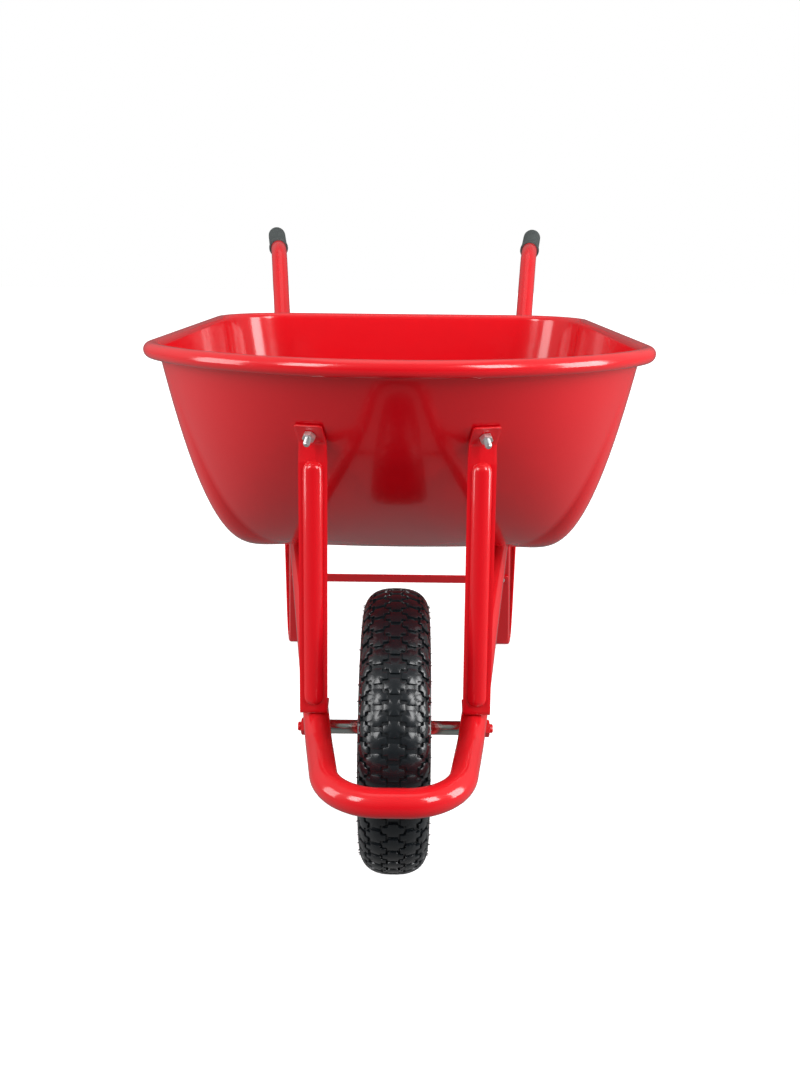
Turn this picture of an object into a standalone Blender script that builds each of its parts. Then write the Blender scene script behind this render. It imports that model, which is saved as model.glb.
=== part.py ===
"""A steel garden wheelbarrow: one bent tube for frame and handles, a pressed tray with a rolled rim,
two ribbed front braces, two V legs with a crossbar, and a pneumatic wheel on a through axle.

Metres, +Z up. The nose points along -Y, and left is the pusher's left, +X. The origin is on the
ground at the middle of the whole object. Lengths named BEHIND are measured back from the axle.
"""

import math

import bmesh
import bpy
from mathutils import Matrix, Vector

# Driving dimensions.
AXLE_Y = -0.4590
WHEEL_RADIUS = 0.178
TYRE_HALF_WIDTH = 0.042
TYRE_HALF_HEIGHT = 0.038
TYRE_SIDE_WALL = 0.005
TYRE_CROWN_WALL = 0.008
TYRE_SQUARENESS = 2.6
TYRE_BEAD_ANGLE = -52
TUBE_RADIUS = 0.016
TUBE_WALL = 0.0015
GAP = 0.0003

# Frame tube, as seen from the side: height against distance behind the axle.
BOW_BEHIND = -0.214
BOW_Z = 0.203
BOW_CORNER_RADIUS = 0.066
KNEE_BEHIND = -0.085
KNEE_Z = 0.203
KNEE_RADIUS = 0.06
REAR_SLOPE_RADIUS = 0.20
RAIL_SLOPE = 0.33
RAIL_X_AT_KNEE = 0.0902
RAIL_SPREAD = 0.158
FLOOR_Z = 0.351
REAR_KNEE_BEHIND = 0.660
REAR_KNEE_RADIUS = 0.10
UPPER_BEND_BEHIND = 1.000
UPPER_BEND_Z = 0.747
UPPER_BEND_RADIUS = 0.085
HANDLE_END_BEHIND = 1.141
HANDLE_SLOPE = math.tan(math.radians(13.9))

# Tray.
SHEET = 0.0010
ROLL_RADIUS = 0.009
RIM_Z_FRONT = 0.649
RIM_Z_REAR = 0.636
RIM_FRONT_BEHIND = -0.114
RIM_REAR_BEHIND = 0.689
RIM_HALF_WIDTH = 0.2935
RIM_SPREAD = 0.024
RIM_NOSE_RADIUS = 0.330
RIM_SIDE_RADIUS = 0.10
RIM_REAR_RADIUS = 0.100
FLOOR_FRONT_BEHIND = 0.219
FLOOR_REAR_BEHIND = 0.610
FLOOR_HALF_WIDTH = 0.180
FLOOR_SPREAD = 0.070
FLOOR_NOSE_RADIUS = 1.2
FLOOR_CORNER_RADIUS = 0.045
FLOOR_REAR_RADIUS = 0.100
NOSE_STRAIGHTNESS = 0.65

# Front braces.
BRACE_X = 0.0975
BRACE_WIDTH = 0.033
BRACE_SHEET = 0.0025
BRACE_RIB_HALF_WIDTH = 0.0115
BRACE_RIB_HEIGHT = 0.0075
BRACE_TAB_BELOW = 0.014
BRACE_FOOT_REAR_BEHIND = -0.033
BRACE_FOOT_BEND_BEHIND = -0.060
BRACE_FOOT_RADIUS = 0.005
BRACE_TAB_RADIUS = 0.008
BRACE_TAB_ABOVE = 0.0135
BRACE_BOLT_Z = 0.568
TAB_STAND_OFF = 0.0013
BRACE_RIB_LOW_Z = 0.243
BRACE_RIB_TOP_Z = 0.533

# Legs and their crossbar.
LEG_WIDTH = 0.036
LEG_SHEET = 0.0025
LEG_INSET = 0.009
LEG_FLANGE = 0.009
LEG_FOLD = 0.003
LEG_FRONT_BOLT_BEHIND = 0.478
LEG_REAR_BOLT_BEHIND = 0.790
FOOT_FRONT_BEHIND = 0.680
FOOT_REAR_BEHIND = 0.716
CROSSBAR_Z = 0.177
CROSSBAR_WIDTH = 0.020
CROSSBAR_SHEET = 0.003

# Fasteners.
BOLT_RADIUS = 0.004
NUT_RADIUS = 0.0075
NUT_HEIGHT = 0.0065
BRACE_BOLT_END = 0.009
BOLT_END = 0.004
FLOOR_BOLT_BEHIND = 0.375

# Wheel and axle.
AXLE_RADIUS = 0.006
AXLE_HALF_LENGTH = 0.1245
SPACER_RADIUS = 0.009
BRACKET_X = 0.1055
BRACKET_THICKNESS = 0.004
BRACKET_HALF_WIDTH = 0.018
BEARING_RADIUS = 0.016
BEARING_WIDTH = 0.010
HUB_RADIUS = 0.0195
HUB_HALF_LENGTH = 0.040
RIM_FLANGE_RADIUS = 0.1115
BEAD_SEAT_RADIUS = 0.1015
VALVE_X = 0.014

# Grips.
GRIP_RADIUS = 0.0185
GRIP_RING_RADIUS = 0.0200
GRIP_LENGTH = 0.110

SIDES = (("left", 1), ("right", -1))


# Plain helpers.


def behind(distance):
    """The y of a place this far behind the axle."""
    return AXLE_Y + distance


def rail_x(distance):
    """Half the distance between the two rails, this far behind the axle."""
    return RAIL_X_AT_KNEE + RAIL_SPREAD * (distance - KNEE_BEHIND)


def clear_scene():
    for obj in list(bpy.data.objects):
        bpy.data.objects.remove(obj)


def new_collection(name):
    collection = bpy.data.collections.new(name)
    bpy.context.scene.collection.children.link(collection)
    return collection


def new_material(name, color, roughness, metallic):
    made = bpy.data.materials.new(name)
    made.use_nodes = True
    shader = made.node_tree.nodes["Principled BSDF"]
    shader.inputs["Base Color"].default_value = (*color, 1.0)
    shader.inputs["Roughness"].default_value = roughness
    shader.inputs["Metallic"].default_value = metallic
    return made


def smooth(mesh):
    mesh.shade_smooth()
    mesh.set_sharp_from_angle(angle=math.radians(35))


def add_piece(name, mesh, material, place=None):
    """Links a new named sub-part, placed by a matrix."""
    obj = bpy.data.objects.new(name, mesh)
    if not obj.data.materials:
        obj.data.materials.append(material)
    BARROW.objects.link(obj)
    obj.matrix_world = place or Matrix()
    return obj


def add_cutter(name, mesh, place, collection):
    obj = bpy.data.objects.new(name, mesh)
    collection.objects.link(obj)
    obj.hide_render = True
    obj.display_type = "WIRE"
    obj.matrix_world = place
    return obj


def facing(origin, axis):
    """A place whose local Z points along the axis."""
    turn = Vector(axis).to_track_quat("Z", "Y").to_matrix().to_4x4()
    return Matrix.Translation(origin) @ turn


def mesh_from(build, name):
    """A mesh from a function that fills a bmesh."""
    bm = bmesh.new()
    build(bm)
    bmesh.ops.recalc_face_normals(bm, faces=bm.faces)
    mesh = bpy.data.meshes.new(name)
    bm.to_mesh(mesh)
    bm.free()
    return mesh


def rod_mesh(name, radius, length, segments):
    """A plain round rod, or a hexagonal one with six segments, centred on its origin."""

    def build(bm):
        bmesh.ops.create_cone(bm, cap_ends=True, segments=segments, radius1=radius,
                              radius2=radius, depth=length)

    return mesh_from(build, name)


def cut_with(obj, collection):
    cut = obj.modifiers.new("holes", "BOOLEAN")
    cut.operation = "DIFFERENCE"
    cut.operand_type = "COLLECTION"
    cut.collection = collection


def solidify(obj, thickness, offset=0.0):
    shell = obj.modifiers.new("sheet", "SOLIDIFY")
    shell.thickness = thickness
    shell.offset = offset
    shell.use_even_offset = True


def turned(name, profile, material, place, steps):
    """A turned piece. The profile is (radius, height) pairs, running down the outer side."""
    mesh = bpy.data.meshes.new(name)
    points = [(radius, 0.0, height) for radius, height in profile]
    closed_ring = profile[0][0] > 0.0
    count = len(points)
    edges = [(i, i + 1) for i in range(count - 1)]
    if closed_ring:
        edges.append((count - 1, 0))
    mesh.from_pydata(points, edges, [])
    obj = add_piece(name, mesh, material, place)
    screw = obj.modifiers.new("turn", "SCREW")
    screw.steps = steps
    screw.render_steps = steps
    screw.use_merge_vertices = True
    screw.merge_threshold = 0.0001
    screw.use_normal_calculate = False
    return obj


def rounded(corners, radii, segments):
    """A path through corners, with an arc of the given radius at each inner corner."""
    path = [Vector(corners[0])]
    for i in range(1, len(corners) - 1):
        corner = Vector(corners[i])
        to_last = (Vector(corners[i - 1]) - corner).normalized()
        to_next = (Vector(corners[i + 1]) - corner).normalized()
        half = to_last.angle(to_next) / 2
        reach = radii[i - 1] / math.tan(half)
        middle = corner + (to_last + to_next).normalized() * radii[i - 1] / math.sin(half)
        start = corner + to_last * reach - middle
        end = corner + to_next * reach - middle
        turn = start.angle(end)
        for step in range(segments[i - 1] + 1):
            share = step / segments[i - 1]
            arm = start * math.sin((1 - share) * turn) + end * math.sin(share * turn)
            path.append(middle + arm / math.sin(turn))
    path.append(Vector(corners[-1]))
    return path


# Frame tube.


def rail_profile():
    """Corners of one rail in side view, from the bow back to the handle's end."""
    slope_end_z = FLOOR_Z - GAP - TUBE_RADIUS
    slope_end = KNEE_BEHIND + (slope_end_z - KNEE_Z) / RAIL_SLOPE
    handle_end_z = UPPER_BEND_Z + (HANDLE_END_BEHIND - UPPER_BEND_BEHIND) * HANDLE_SLOPE
    return [
        (BOW_BEHIND, BOW_Z),
        (KNEE_BEHIND, KNEE_Z),
        (slope_end, slope_end_z),
        (REAR_KNEE_BEHIND, slope_end_z),
        (UPPER_BEND_BEHIND, UPPER_BEND_Z),
        (HANDLE_END_BEHIND, handle_end_z),
    ]


def rail_point(distance, z, side=1):
    return Vector((side * rail_x(distance), behind(distance), z))


def frame_path():
    """The tube's centre line, from the right handle round the bow to the left handle."""
    left = [rail_point(distance, z) for distance, z in rail_profile()]
    right = [Vector((-p.x, p.y, p.z)) for p in reversed(left)]
    bends = [BOW_CORNER_RADIUS, KNEE_RADIUS, REAR_SLOPE_RADIUS, REAR_KNEE_RADIUS,
             UPPER_BEND_RADIUS]
    steps = [7, 2, 2, 4, 5]
    return rounded(right + left, bends[::-1] + bends, steps[::-1] + steps)


def make_frame_tube():
    curve = bpy.data.curves.new("frame_tube", "CURVE")
    curve.dimensions = "3D"
    curve.bevel_depth = TUBE_RADIUS
    curve.bevel_resolution = 3
    path = frame_path()
    spline = curve.splines.new("POLY")
    spline.points.add(len(path) - 1)
    for point, place in zip(spline.points, path):
        point.co = (*place, 1.0)
    guide = bpy.data.objects.new("frame_guide", curve)
    BARROW.objects.link(guide)
    solidify(guide, TUBE_WALL, -1.0)
    bpy.context.view_layer.update()
    graph = bpy.context.evaluated_depsgraph_get()
    mesh = bpy.data.meshes.new_from_object(guide.evaluated_get(graph))
    mesh.name = "frame_tube"
    bpy.data.objects.remove(guide)
    bm = bmesh.new()
    bm.from_mesh(mesh)
    bmesh.ops.remove_doubles(bm, verts=bm.verts, dist=0.00001)
    bmesh.ops.recalc_face_normals(bm, faces=bm.faces)
    bm.to_mesh(mesh)
    bm.free()
    mesh.materials.clear()
    smooth(mesh)
    tube = add_piece("frame_tube", mesh, RED)
    cut_with(tube, BOLT_HOLES)


# Tray.


def half_outline(front, rear, half_width, spread, nose_radius, side_radius, rear_radius):
    """Half of a rounded plan outline, from the front middle round to the rear middle, as
    (point, outward direction) pairs. The width grows towards the rear by the spread."""
    side_heading = math.pi / 2 - math.atan(spread)
    nose_turn = math.asin((half_width - side_radius) / (nose_radius - side_radius))
    point = Vector((0.0, front))
    rows = []

    def out(heading):
        return Vector((math.sin(heading), -math.cos(heading)))

    def arc(radius, start, end, steps):
        nonlocal point
        middle = point - out(start) * radius
        for step in range(steps + 1):
            heading = start + (end - start) * step / steps
            rows.append((middle + out(heading) * radius, out(heading)))
        point = middle + out(end) * radius

    arc(nose_radius, 0.0, nose_turn, 5)
    rows.pop()
    arc(side_radius, nose_turn, side_heading, 4)
    run = (rear - rear_radius - point.y) / math.sin(side_heading)
    along = Vector((math.cos(side_heading), math.sin(side_heading)))
    for step in (1, 2):
        rows.append((point + along * run * step / 3, out(side_heading)))
    point = point + along * run
    arc(rear_radius, side_heading, math.pi, 5)
    rows.append((Vector((0.0, rear)), out(math.pi)))
    return rows


def rim_z(distance):
    """Height of the roll's centre, this far behind the axle."""
    share = (distance - RIM_FRONT_BEHIND) / (RIM_REAR_BEHIND - RIM_FRONT_BEHIND)
    return RIM_Z_FRONT + (RIM_Z_REAR - RIM_Z_FRONT) * share


def tray_outlines():
    floor = half_outline(FLOOR_FRONT_BEHIND, FLOOR_REAR_BEHIND, FLOOR_HALF_WIDTH, FLOOR_SPREAD,
                         FLOOR_NOSE_RADIUS, FLOOR_CORNER_RADIUS, FLOOR_REAR_RADIUS)
    rim = half_outline(RIM_FRONT_BEHIND, RIM_REAR_BEHIND, RIM_HALF_WIDTH, RIM_SPREAD,
                       RIM_NOSE_RADIUS, RIM_SIDE_RADIUS, RIM_REAR_RADIUS)
    return floor, rim


def wall_place(floor_point, rim_point, outward, rise):
    """A place on the wall's middle surface. The side and rear walls leave the floor flat and
    steepen as a cubic up to the rim. The nose is part straight slope and part cubic."""
    flat = floor_point.lerp(rim_point, rise)
    low = FLOOR_Z + SHEET / 2
    straight = NOSE_STRAIGHTNESS * max(-outward.y, 0.0) ** 2
    share = straight * rise + (1 - straight) * rise ** 3
    return Vector((flat.x, behind(flat.y), low + (rim_z(rim_point.y) - low) * share))


def make_tray():
    """The pressed tray with its rolled rim, as an open half sheet, mirrored and given its gauge."""
    floor, rim = tray_outlines()
    rises = (0.0, 0.22, 0.4, 0.56, 0.70, 0.82, 0.93, 1.0)
    roll_angles = (135, 90, 45, 0, -45, -90, -130)

    def build(bm):
        columns = []
        for (floor_point, _), (rim_point, outward) in zip(floor, rim):
            column = [wall_place(floor_point, rim_point, outward, rise) for rise in rises]
            top = column[-1]
            out = Vector((outward.x, outward.y, 0.0))
            middle = top + out * ROLL_RADIUS
            for angle in roll_angles:
                turn = math.radians(angle)
                lift = Vector((0.0, 0.0, math.sin(turn)))
                column.append(middle + (out * math.cos(turn) + lift) * ROLL_RADIUS)
            columns.append([bm.verts.new(place) for place in column])
        for one, other in zip(columns, columns[1:]):
            for low in range(len(one) - 1):
                bm.faces.new((one[low], other[low], other[low + 1], one[low + 1]))
        bm.faces.new([column[0] for column in columns])

    mesh = mesh_from(build, "tray")
    smooth(mesh)
    tray = add_piece("tray", mesh, RED)
    mirror = tray.modifiers.new("other half", "MIRROR")
    mirror.merge_threshold = 0.0001
    solidify(tray, SHEET)
    cut_with(tray, BOLT_HOLES)


def find_brace_seat(side):
    """Where the brace bolt meets the outer face of the tray's front wall, and that face's outward
    direction."""
    bpy.context.view_layer.update()
    graph = bpy.context.evaluated_depsgraph_get()
    tray = bpy.data.objects["tray"].evaluated_get(graph)
    start = Vector((side * BRACE_X, -2.0, BRACE_BOLT_Z))
    found, place, outward, _ = tray.ray_cast(start, Vector((0.0, 1.0, 0.0)))
    if not found:
        raise ValueError("the brace bolt misses the tray's front wall")
    return place, outward


# Pressed straps: front braces and legs.


def pressed_strap(name, stations, sheet, material):
    """A strap pressed from sheet. A station is (centre, across, up, section), where the section
    lists (distance across, distance up) pairs."""

    def build(bm):
        rows = []
        for centre, across, up, section in stations:
            rows.append([bm.verts.new(centre + across * a + up * u) for a, u in section])
        for one, other in zip(rows, rows[1:]):
            for i in range(len(one) - 1):
                bm.faces.new((one[i], one[i + 1], other[i + 1], other[i]))

    mesh = mesh_from(build, name)
    smooth(mesh)
    strap = add_piece(name, mesh, material)
    solidify(strap, sheet)
    cut_with(strap, BOLT_HOLES)
    return strap


def side_stations(path, side, x_at, section_at, inward):
    """Stations along a path in side view. The section's up direction is square to the path, on
    the side that the sign of inward picks."""
    stations = []
    for i, (y, z) in enumerate(path):
        last = path[max(i - 1, 0)]
        following = path[min(i + 1, len(path) - 1)]
        run = Vector((0.0, following[0] - last[0], following[1] - last[1])).normalized()
        up = Vector((0.0, -run.z, run.y)) * inward
        centre = Vector((side * x_at(y), behind(y), z))
        stations.append((centre, Vector((1.0, 0.0, 0.0)), up, section_at(y, z)))
    return stations


def brace_rib_height(z):
    """The rib's height along the brace, falling in a quarter round at each end."""
    inside = min(z - BRACE_RIB_LOW_Z, BRACE_RIB_TOP_Z - z)
    if inside <= 0.0:
        return 0.0
    share = min(inside / BRACE_RIB_HEIGHT, 1.0)
    return BRACE_RIB_HEIGHT * math.sqrt(1 - (1 - share) ** 2)


def brace_section(z):
    """Across a brace: two flat edges and a rounded rib between them."""
    height = brace_rib_height(z)
    half = BRACE_WIDTH / 2
    rib = [(-BRACE_RIB_HALF_WIDTH * math.cos(math.pi * i / 6),
            height * math.sin(math.pi * i / 6) ** 0.7) for i in range(7)]
    return [(-half, 0.0)] + rib + [(half, 0.0)]


def brace_stations(side):
    """A short foot on the rail, the upright, and a tab that lies along the tray's wall."""
    rise = math.atan(RAIL_SLOPE)
    over_rail = TUBE_RADIUS + GAP + BRACE_SHEET / 2
    off_rail = Vector((0.0, -math.sin(rise), math.cos(rise))) * over_rail
    x = side * BRACE_X
    corners = []
    for distance in (BRACE_FOOT_REAR_BEHIND, BRACE_FOOT_BEND_BEHIND):
        on_rail = Vector((x, behind(distance), KNEE_Z + RAIL_SLOPE * (distance - KNEE_BEHIND)))
        corners.append(on_rail + off_rail)
    seat, outward = BRACE_SEATS[side]
    middle = seat + outward * (TAB_STAND_OFF + BRACE_SHEET / 2)
    up_wall = (Vector((0.0, 0.0, 1.0)) - outward * outward.z).normalized()
    tab_across = outward.cross(up_wall)
    tab_across = tab_across * math.copysign(1.0, tab_across.x)
    for reach in (-BRACE_TAB_BELOW, BRACE_TAB_ABOVE):
        corners.append(middle + up_wall * reach)
    level = Vector((1.0, 0.0, 0.0))
    bends = rounded(corners, [BRACE_FOOT_RADIUS, BRACE_TAB_RADIUS], [2, 2])
    low = bends[3]
    high = bends[4]
    half = BRACE_RIB_HEIGHT
    marks = [BRACE_RIB_LOW_Z, BRACE_RIB_LOW_Z + half * 0.3, BRACE_RIB_LOW_Z + half]
    marks += [BRACE_RIB_TOP_Z - half, BRACE_RIB_TOP_Z - half * 0.3, BRACE_RIB_TOP_Z]
    upright = [low.lerp(high, (z - low.z) / (high.z - low.z)) for z in marks]
    path = bends[:4] + upright + bends[4:]
    stations = []
    for i, centre in enumerate(path):
        run = (path[min(i + 1, len(path) - 1)] - path[max(i - 1, 0)]).normalized()
        across = tab_across if i > len(upright) + 3 else level
        stations.append((centre, across, across.cross(run), brace_section(centre.z)))
    return stations


def make_brace(side_name, side):
    """A front brace: a flat strap with a rounded rib pressed forward along its upright."""
    pressed_strap("brace_" + side_name, brace_stations(side), BRACE_SHEET, RED)


def rear_rail_direction():
    profile = rail_profile()
    low = Vector(profile[3])
    high = Vector(profile[4])
    return (high - low).normalized()


def rear_rail_at(distance):
    """Centre height of the rising part of the rail, this far behind the axle."""
    profile = rail_profile()
    direction = rear_rail_direction()
    return profile[3][1] + (distance - profile[3][0]) * direction.y / direction.x


def leg_path():
    """Side view of a leg, as (distance behind the axle, height): front tab, V and rear tab."""
    under = FLOOR_Z - GAP - 2 * TUBE_RADIUS - GAP - LEG_SHEET / 2
    sole = LEG_SHEET / 2
    rising = rear_rail_direction()
    down = Vector((rising.y, -rising.x))
    tab = Vector((LEG_REAR_BOLT_BEHIND, rear_rail_at(LEG_REAR_BOLT_BEHIND)))
    tab = tab + down * (TUBE_RADIUS + GAP + LEG_SHEET / 2)
    corners = [
        (LEG_FRONT_BOLT_BEHIND - 0.020, under),
        (LEG_FRONT_BOLT_BEHIND + 0.020, under),
        (FOOT_FRONT_BEHIND, sole),
        (FOOT_REAR_BEHIND, sole),
        tuple(tab - rising * 0.020),
        tuple(tab + rising * 0.018),
    ]
    flat = [Vector((y, z, 0.0)) for y, z in corners]
    return rounded(flat, [0.010, 0.012, 0.012, 0.010], [2, 3, 3, 2])


def leg_strut_at(z):
    """The front strut at this height: distance behind the axle, and its forward square in side
    view."""
    path = leg_path()
    top = Vector((path[3].x, path[3].y))
    foot = Vector((path[4].x, path[4].y))
    run = (top - foot).normalized()
    place = foot + run * (z - foot.y) / run.y
    return place.x, Vector((-run.y, run.x))


def make_leg(side_name, side):
    """A V leg bent from one strap, with shallow flanges turned into the V along both struts."""
    half = LEG_WIDTH / 2
    path = leg_path()
    count = len(path)
    low = [Vector((p.x, p.y)) for p in path]
    struts = (low[3].lerp(low[4], 0.08), low[3].lerp(low[4], 0.93))
    rears = (low[-4].lerp(low[-5], 0.93), low[-4].lerp(low[-5], 0.08))
    ordered = low[:4] + [struts[0], struts[1]] + low[4:count - 4]
    ordered += [rears[0], rears[1]] + low[count - 4:]
    flanged = {tuple(struts[0]), tuple(struts[1]), tuple(rears[0]), tuple(rears[1])}
    foot = {tuple(p) for p in low[4:count - 4]}

    def section(y, z):
        here = tuple(Vector((y, z)))
        rise = LEG_FLANGE if here in flanged else 0.0
        if here in foot:
            rise = LEG_FLANGE * 0.5
        fold = half - LEG_FOLD
        return [(-half, rise), (-fold, 0.0), (fold, 0.0), (half, rise)]

    stations = side_stations([tuple(p) for p in ordered], side,
                             lambda y: rail_x(y) - LEG_INSET, section, 1.0)
    pressed_strap("leg_" + side_name, stations, LEG_SHEET, RED)


def crossbar_centre():
    """Side view of the crossbar's middle, and the forward square of the struts."""
    behind_axle, forward = leg_strut_at(CROSSBAR_Z)
    stand_off = LEG_SHEET / 2 + GAP + CROSSBAR_SHEET / 2
    place = Vector((behind_axle, CROSSBAR_Z)) + forward * stand_off
    return place, forward


def make_crossbar():
    """A flat bar across the front of both legs."""
    place, forward = crossbar_centre()
    half_length = rail_x(place.x) - LEG_INSET + LEG_WIDTH / 2 - 0.003
    along = Vector((0.0, -forward.y, forward.x))
    turn = Matrix((Vector((1.0, 0.0, 0.0)), along, Vector((1.0, 0.0, 0.0)).cross(along)))
    place = Matrix.Translation((0.0, behind(place.x), place.y)) @ turn.transposed().to_4x4()

    def build(bm):
        bmesh.ops.create_cube(bm, size=1.0)
        size = Matrix.Diagonal((2 * half_length, CROSSBAR_WIDTH, CROSSBAR_SHEET, 1.0))
        bmesh.ops.transform(bm, matrix=size, verts=bm.verts)

    bar = add_piece("leg_crossbar", mesh_from(build, "leg_crossbar"), RED, place)
    cut_with(bar, BOLT_HOLES)


# Bolts and nuts.


def make_bolt(name, seat, axis, length, material=None):
    """A round-headed bolt. The seat is under the head, and the axis points out of the head."""
    head = 0.009
    profile = [(0.0, 0.0046), (0.0045, 0.0040), (0.0078, 0.0022), (head, 0.0),
               (BOLT_RADIUS, 0.0), (BOLT_RADIUS, -length), (0.0, -length)]
    turned(name, profile, material or ZINC, facing(seat, axis), 10)


def make_nut(name, middle, axis, bore=BOLT_RADIUS, radius=NUT_RADIUS, height=NUT_HEIGHT,
             material=None):
    nut = add_piece(name, rod_mesh(name, radius, height, 6), material or ZINC,
                    facing(middle, axis))
    hole = add_cutter(name + "_bore", rod_mesh(name + "_bore", bore + GAP, height * 2, 10),
                      facing(middle, axis), NUT_BORES)
    cut = nut.modifiers.new("bore", "BOOLEAN")
    cut.operation = "DIFFERENCE"
    cut.object = hole
    return nut


def bolt_set(name, side_name, seat, axis, grip, end, clearance_back=0.004):
    """A bolt, its clearance hole and its nut. The grip is the stack between head and nut, and the
    end is what stands out past the nut."""
    seat = Vector(seat)
    axis = Vector(axis).normalized()
    length = grip + 2 * GAP + NUT_HEIGHT + end
    make_bolt(f"{name}_bolt_{side_name}", seat + axis * GAP, axis, length)
    middle = seat - axis * (grip + GAP + NUT_HEIGHT / 2)
    make_nut(f"{name}_nut_{side_name}", middle, axis)
    reach = grip + clearance_back
    hole = rod_mesh("clearance", BOLT_RADIUS + GAP, reach + clearance_back, 10)
    centre = seat - axis * (reach - clearance_back) / 2
    add_cutter(f"{name}_hole_{side_name}", hole, facing(centre, axis), BOLT_HOLES)


def make_bolt_sets():
    for side_name, side in SIDES:
        face, outward = BRACE_SEATS[side]
        seat = face - outward * (SHEET + GAP)
        grip = SHEET + GAP + TAB_STAND_OFF + GAP + BRACE_SHEET
        bolt_set("brace", side_name, seat, -outward, grip, BRACE_BOLT_END)

        top = FLOOR_Z + SHEET
        through_tube = SHEET + GAP + 2 * TUBE_RADIUS
        seat = (side * rail_x(FLOOR_BOLT_BEHIND), behind(FLOOR_BOLT_BEHIND), top)
        bolt_set("floor", side_name, seat, (0, 0, 1), through_tube, BOLT_END)
        seat = (side * rail_x(LEG_FRONT_BOLT_BEHIND), behind(LEG_FRONT_BOLT_BEHIND), top)
        bolt_set("leg_front", side_name, seat, (0, 0, 1), through_tube + GAP + LEG_SHEET,
                 BOLT_END)

        rising = rear_rail_direction()
        up = Vector((0.0, -rising.y, rising.x))
        centre = rail_point(LEG_REAR_BOLT_BEHIND, rear_rail_at(LEG_REAR_BOLT_BEHIND), side)
        bolt_set("leg_rear", side_name, centre + up * (TUBE_RADIUS + GAP), up,
                 2 * TUBE_RADIUS + 2 * GAP + LEG_SHEET, BOLT_END)

        place, forward = crossbar_centre()
        out = Vector((0.0, forward.x, forward.y))
        face = place + forward * CROSSBAR_SHEET / 2
        x = side * (rail_x(place.x) - LEG_INSET)
        bolt_set("crossbar", side_name, (x, behind(face.x), face.y), out,
                 CROSSBAR_SHEET + GAP + LEG_SHEET, BOLT_END)


# Axle, brackets and what sits on the axle.


def make_axle_bracket(side_name, side):
    """A plate under the rail with a rounded lower end, saddled to the tube and bored for the
    axle."""
    half = BRACKET_HALF_WIDTH

    def build(bm):
        arc = [math.pi + math.pi * i / 8 for i in range(9)]
        ring = [(math.cos(a) * half, math.sin(a) * half) for a in arc]
        ring += [(half, 0.060), (-half, 0.060)]
        bm.faces.new([bm.verts.new((0.0, y, z)) for y, z in ring])

    x = side * (BRACKET_X + BRACKET_THICKNESS / 2)
    name = "axle_bracket_" + side_name
    place = Matrix.Translation((x, AXLE_Y, WHEEL_RADIUS))
    plate = add_piece(name, mesh_from(build, name), RED, place)
    solidify(plate, BRACKET_THICKNESS)
    for cutter in (AXLE_HOLES, SADDLES):
        cut_with(plate, cutter)
    low = rail_point(KNEE_BEHIND, KNEE_Z, side)
    high = rail_point(-KNEE_BEHIND, KNEE_Z - 2 * RAIL_SLOPE * KNEE_BEHIND, side)
    saddle = rod_mesh("saddle", TUBE_RADIUS + GAP, 0.2, 24)
    add_cutter("saddle_" + side_name, saddle, facing((low + high) / 2, high - low), SADDLES)
    top = mesh_from(lambda bm: bmesh.ops.create_cube(bm, size=0.08), "saddle_top")
    centre = (low + high) / 2 + Vector((0.0, 0.0, 0.04))
    add_cutter("saddle_top_" + side_name, top, facing(centre, high - low), SADDLES)


def along_axle(x):
    """A place on the axle whose local Z points along +X."""
    return facing((x, AXLE_Y, WHEEL_RADIUS), (1, 0, 0))


def ring_profile(inner, outer, half_length, edge=0.0):
    """Section of a plain ring or sleeve, running down its outer side and back up its bore."""
    return [(outer - edge, half_length), (outer, half_length - edge), (outer, edge - half_length),
            (outer - edge, -half_length), (inner, -half_length), (inner, half_length)]


def make_axle():
    """The axle with its nuts, washers and spacer sleeves, and the holes it needs."""
    end = AXLE_HALF_LENGTH
    profile = [(0.0, end), (AXLE_RADIUS - 0.001, end), (AXLE_RADIUS, end - 0.001),
               (AXLE_RADIUS, 0.001 - end), (AXLE_RADIUS - 0.001, -end), (0.0, -end)]
    turned("axle", profile, ZINC, along_axle(0.0), 16)
    hole = rod_mesh("axle_hole", AXLE_RADIUS + GAP, 0.3, 16)
    add_cutter("axle_hole", hole, along_axle(0.0), AXLE_HOLES)
    for side_name, side in SIDES:
        first = HUB_HALF_LENGTH + GAP
        last = BRACKET_X - GAP
        sleeve = ring_profile(AXLE_RADIUS + GAP, SPACER_RADIUS, (last - first) / 2)
        turned("axle_spacer_" + side_name, sleeve, ZINC,
               along_axle(side * (first + last) / 2), 12)
        outer_face = BRACKET_X + BRACKET_THICKNESS + GAP
        washer = ring_profile(AXLE_RADIUS + GAP, 0.012, 0.001)
        turned("axle_washer_" + side_name, washer, ZINC,
               along_axle(side * (outer_face + 0.001)), 12)
        nut_middle = outer_face + 0.002 + GAP + 0.004
        make_nut("axle_nut_" + side_name, (side * nut_middle, AXLE_Y, WHEEL_RADIUS), (1, 0, 0),
                 AXLE_RADIUS, 0.011, 0.008, RED)


# Wheel.


def tyre_curve(half_width, half_height, turns):
    """The tyre's rounded-square section, from one bead over the tread to the other."""
    points = []
    for turn in turns:
        cosine = math.cos(turn)
        sine = math.sin(turn)
        across = half_width * math.copysign(abs(cosine) ** (2 / TYRE_SQUARENESS), cosine)
        out = half_height * math.copysign(abs(sine) ** (2 / TYRE_SQUARENESS), sine)
        points.append((WHEEL_RADIUS - TYRE_HALF_HEIGHT + out, across))
    return points


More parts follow.
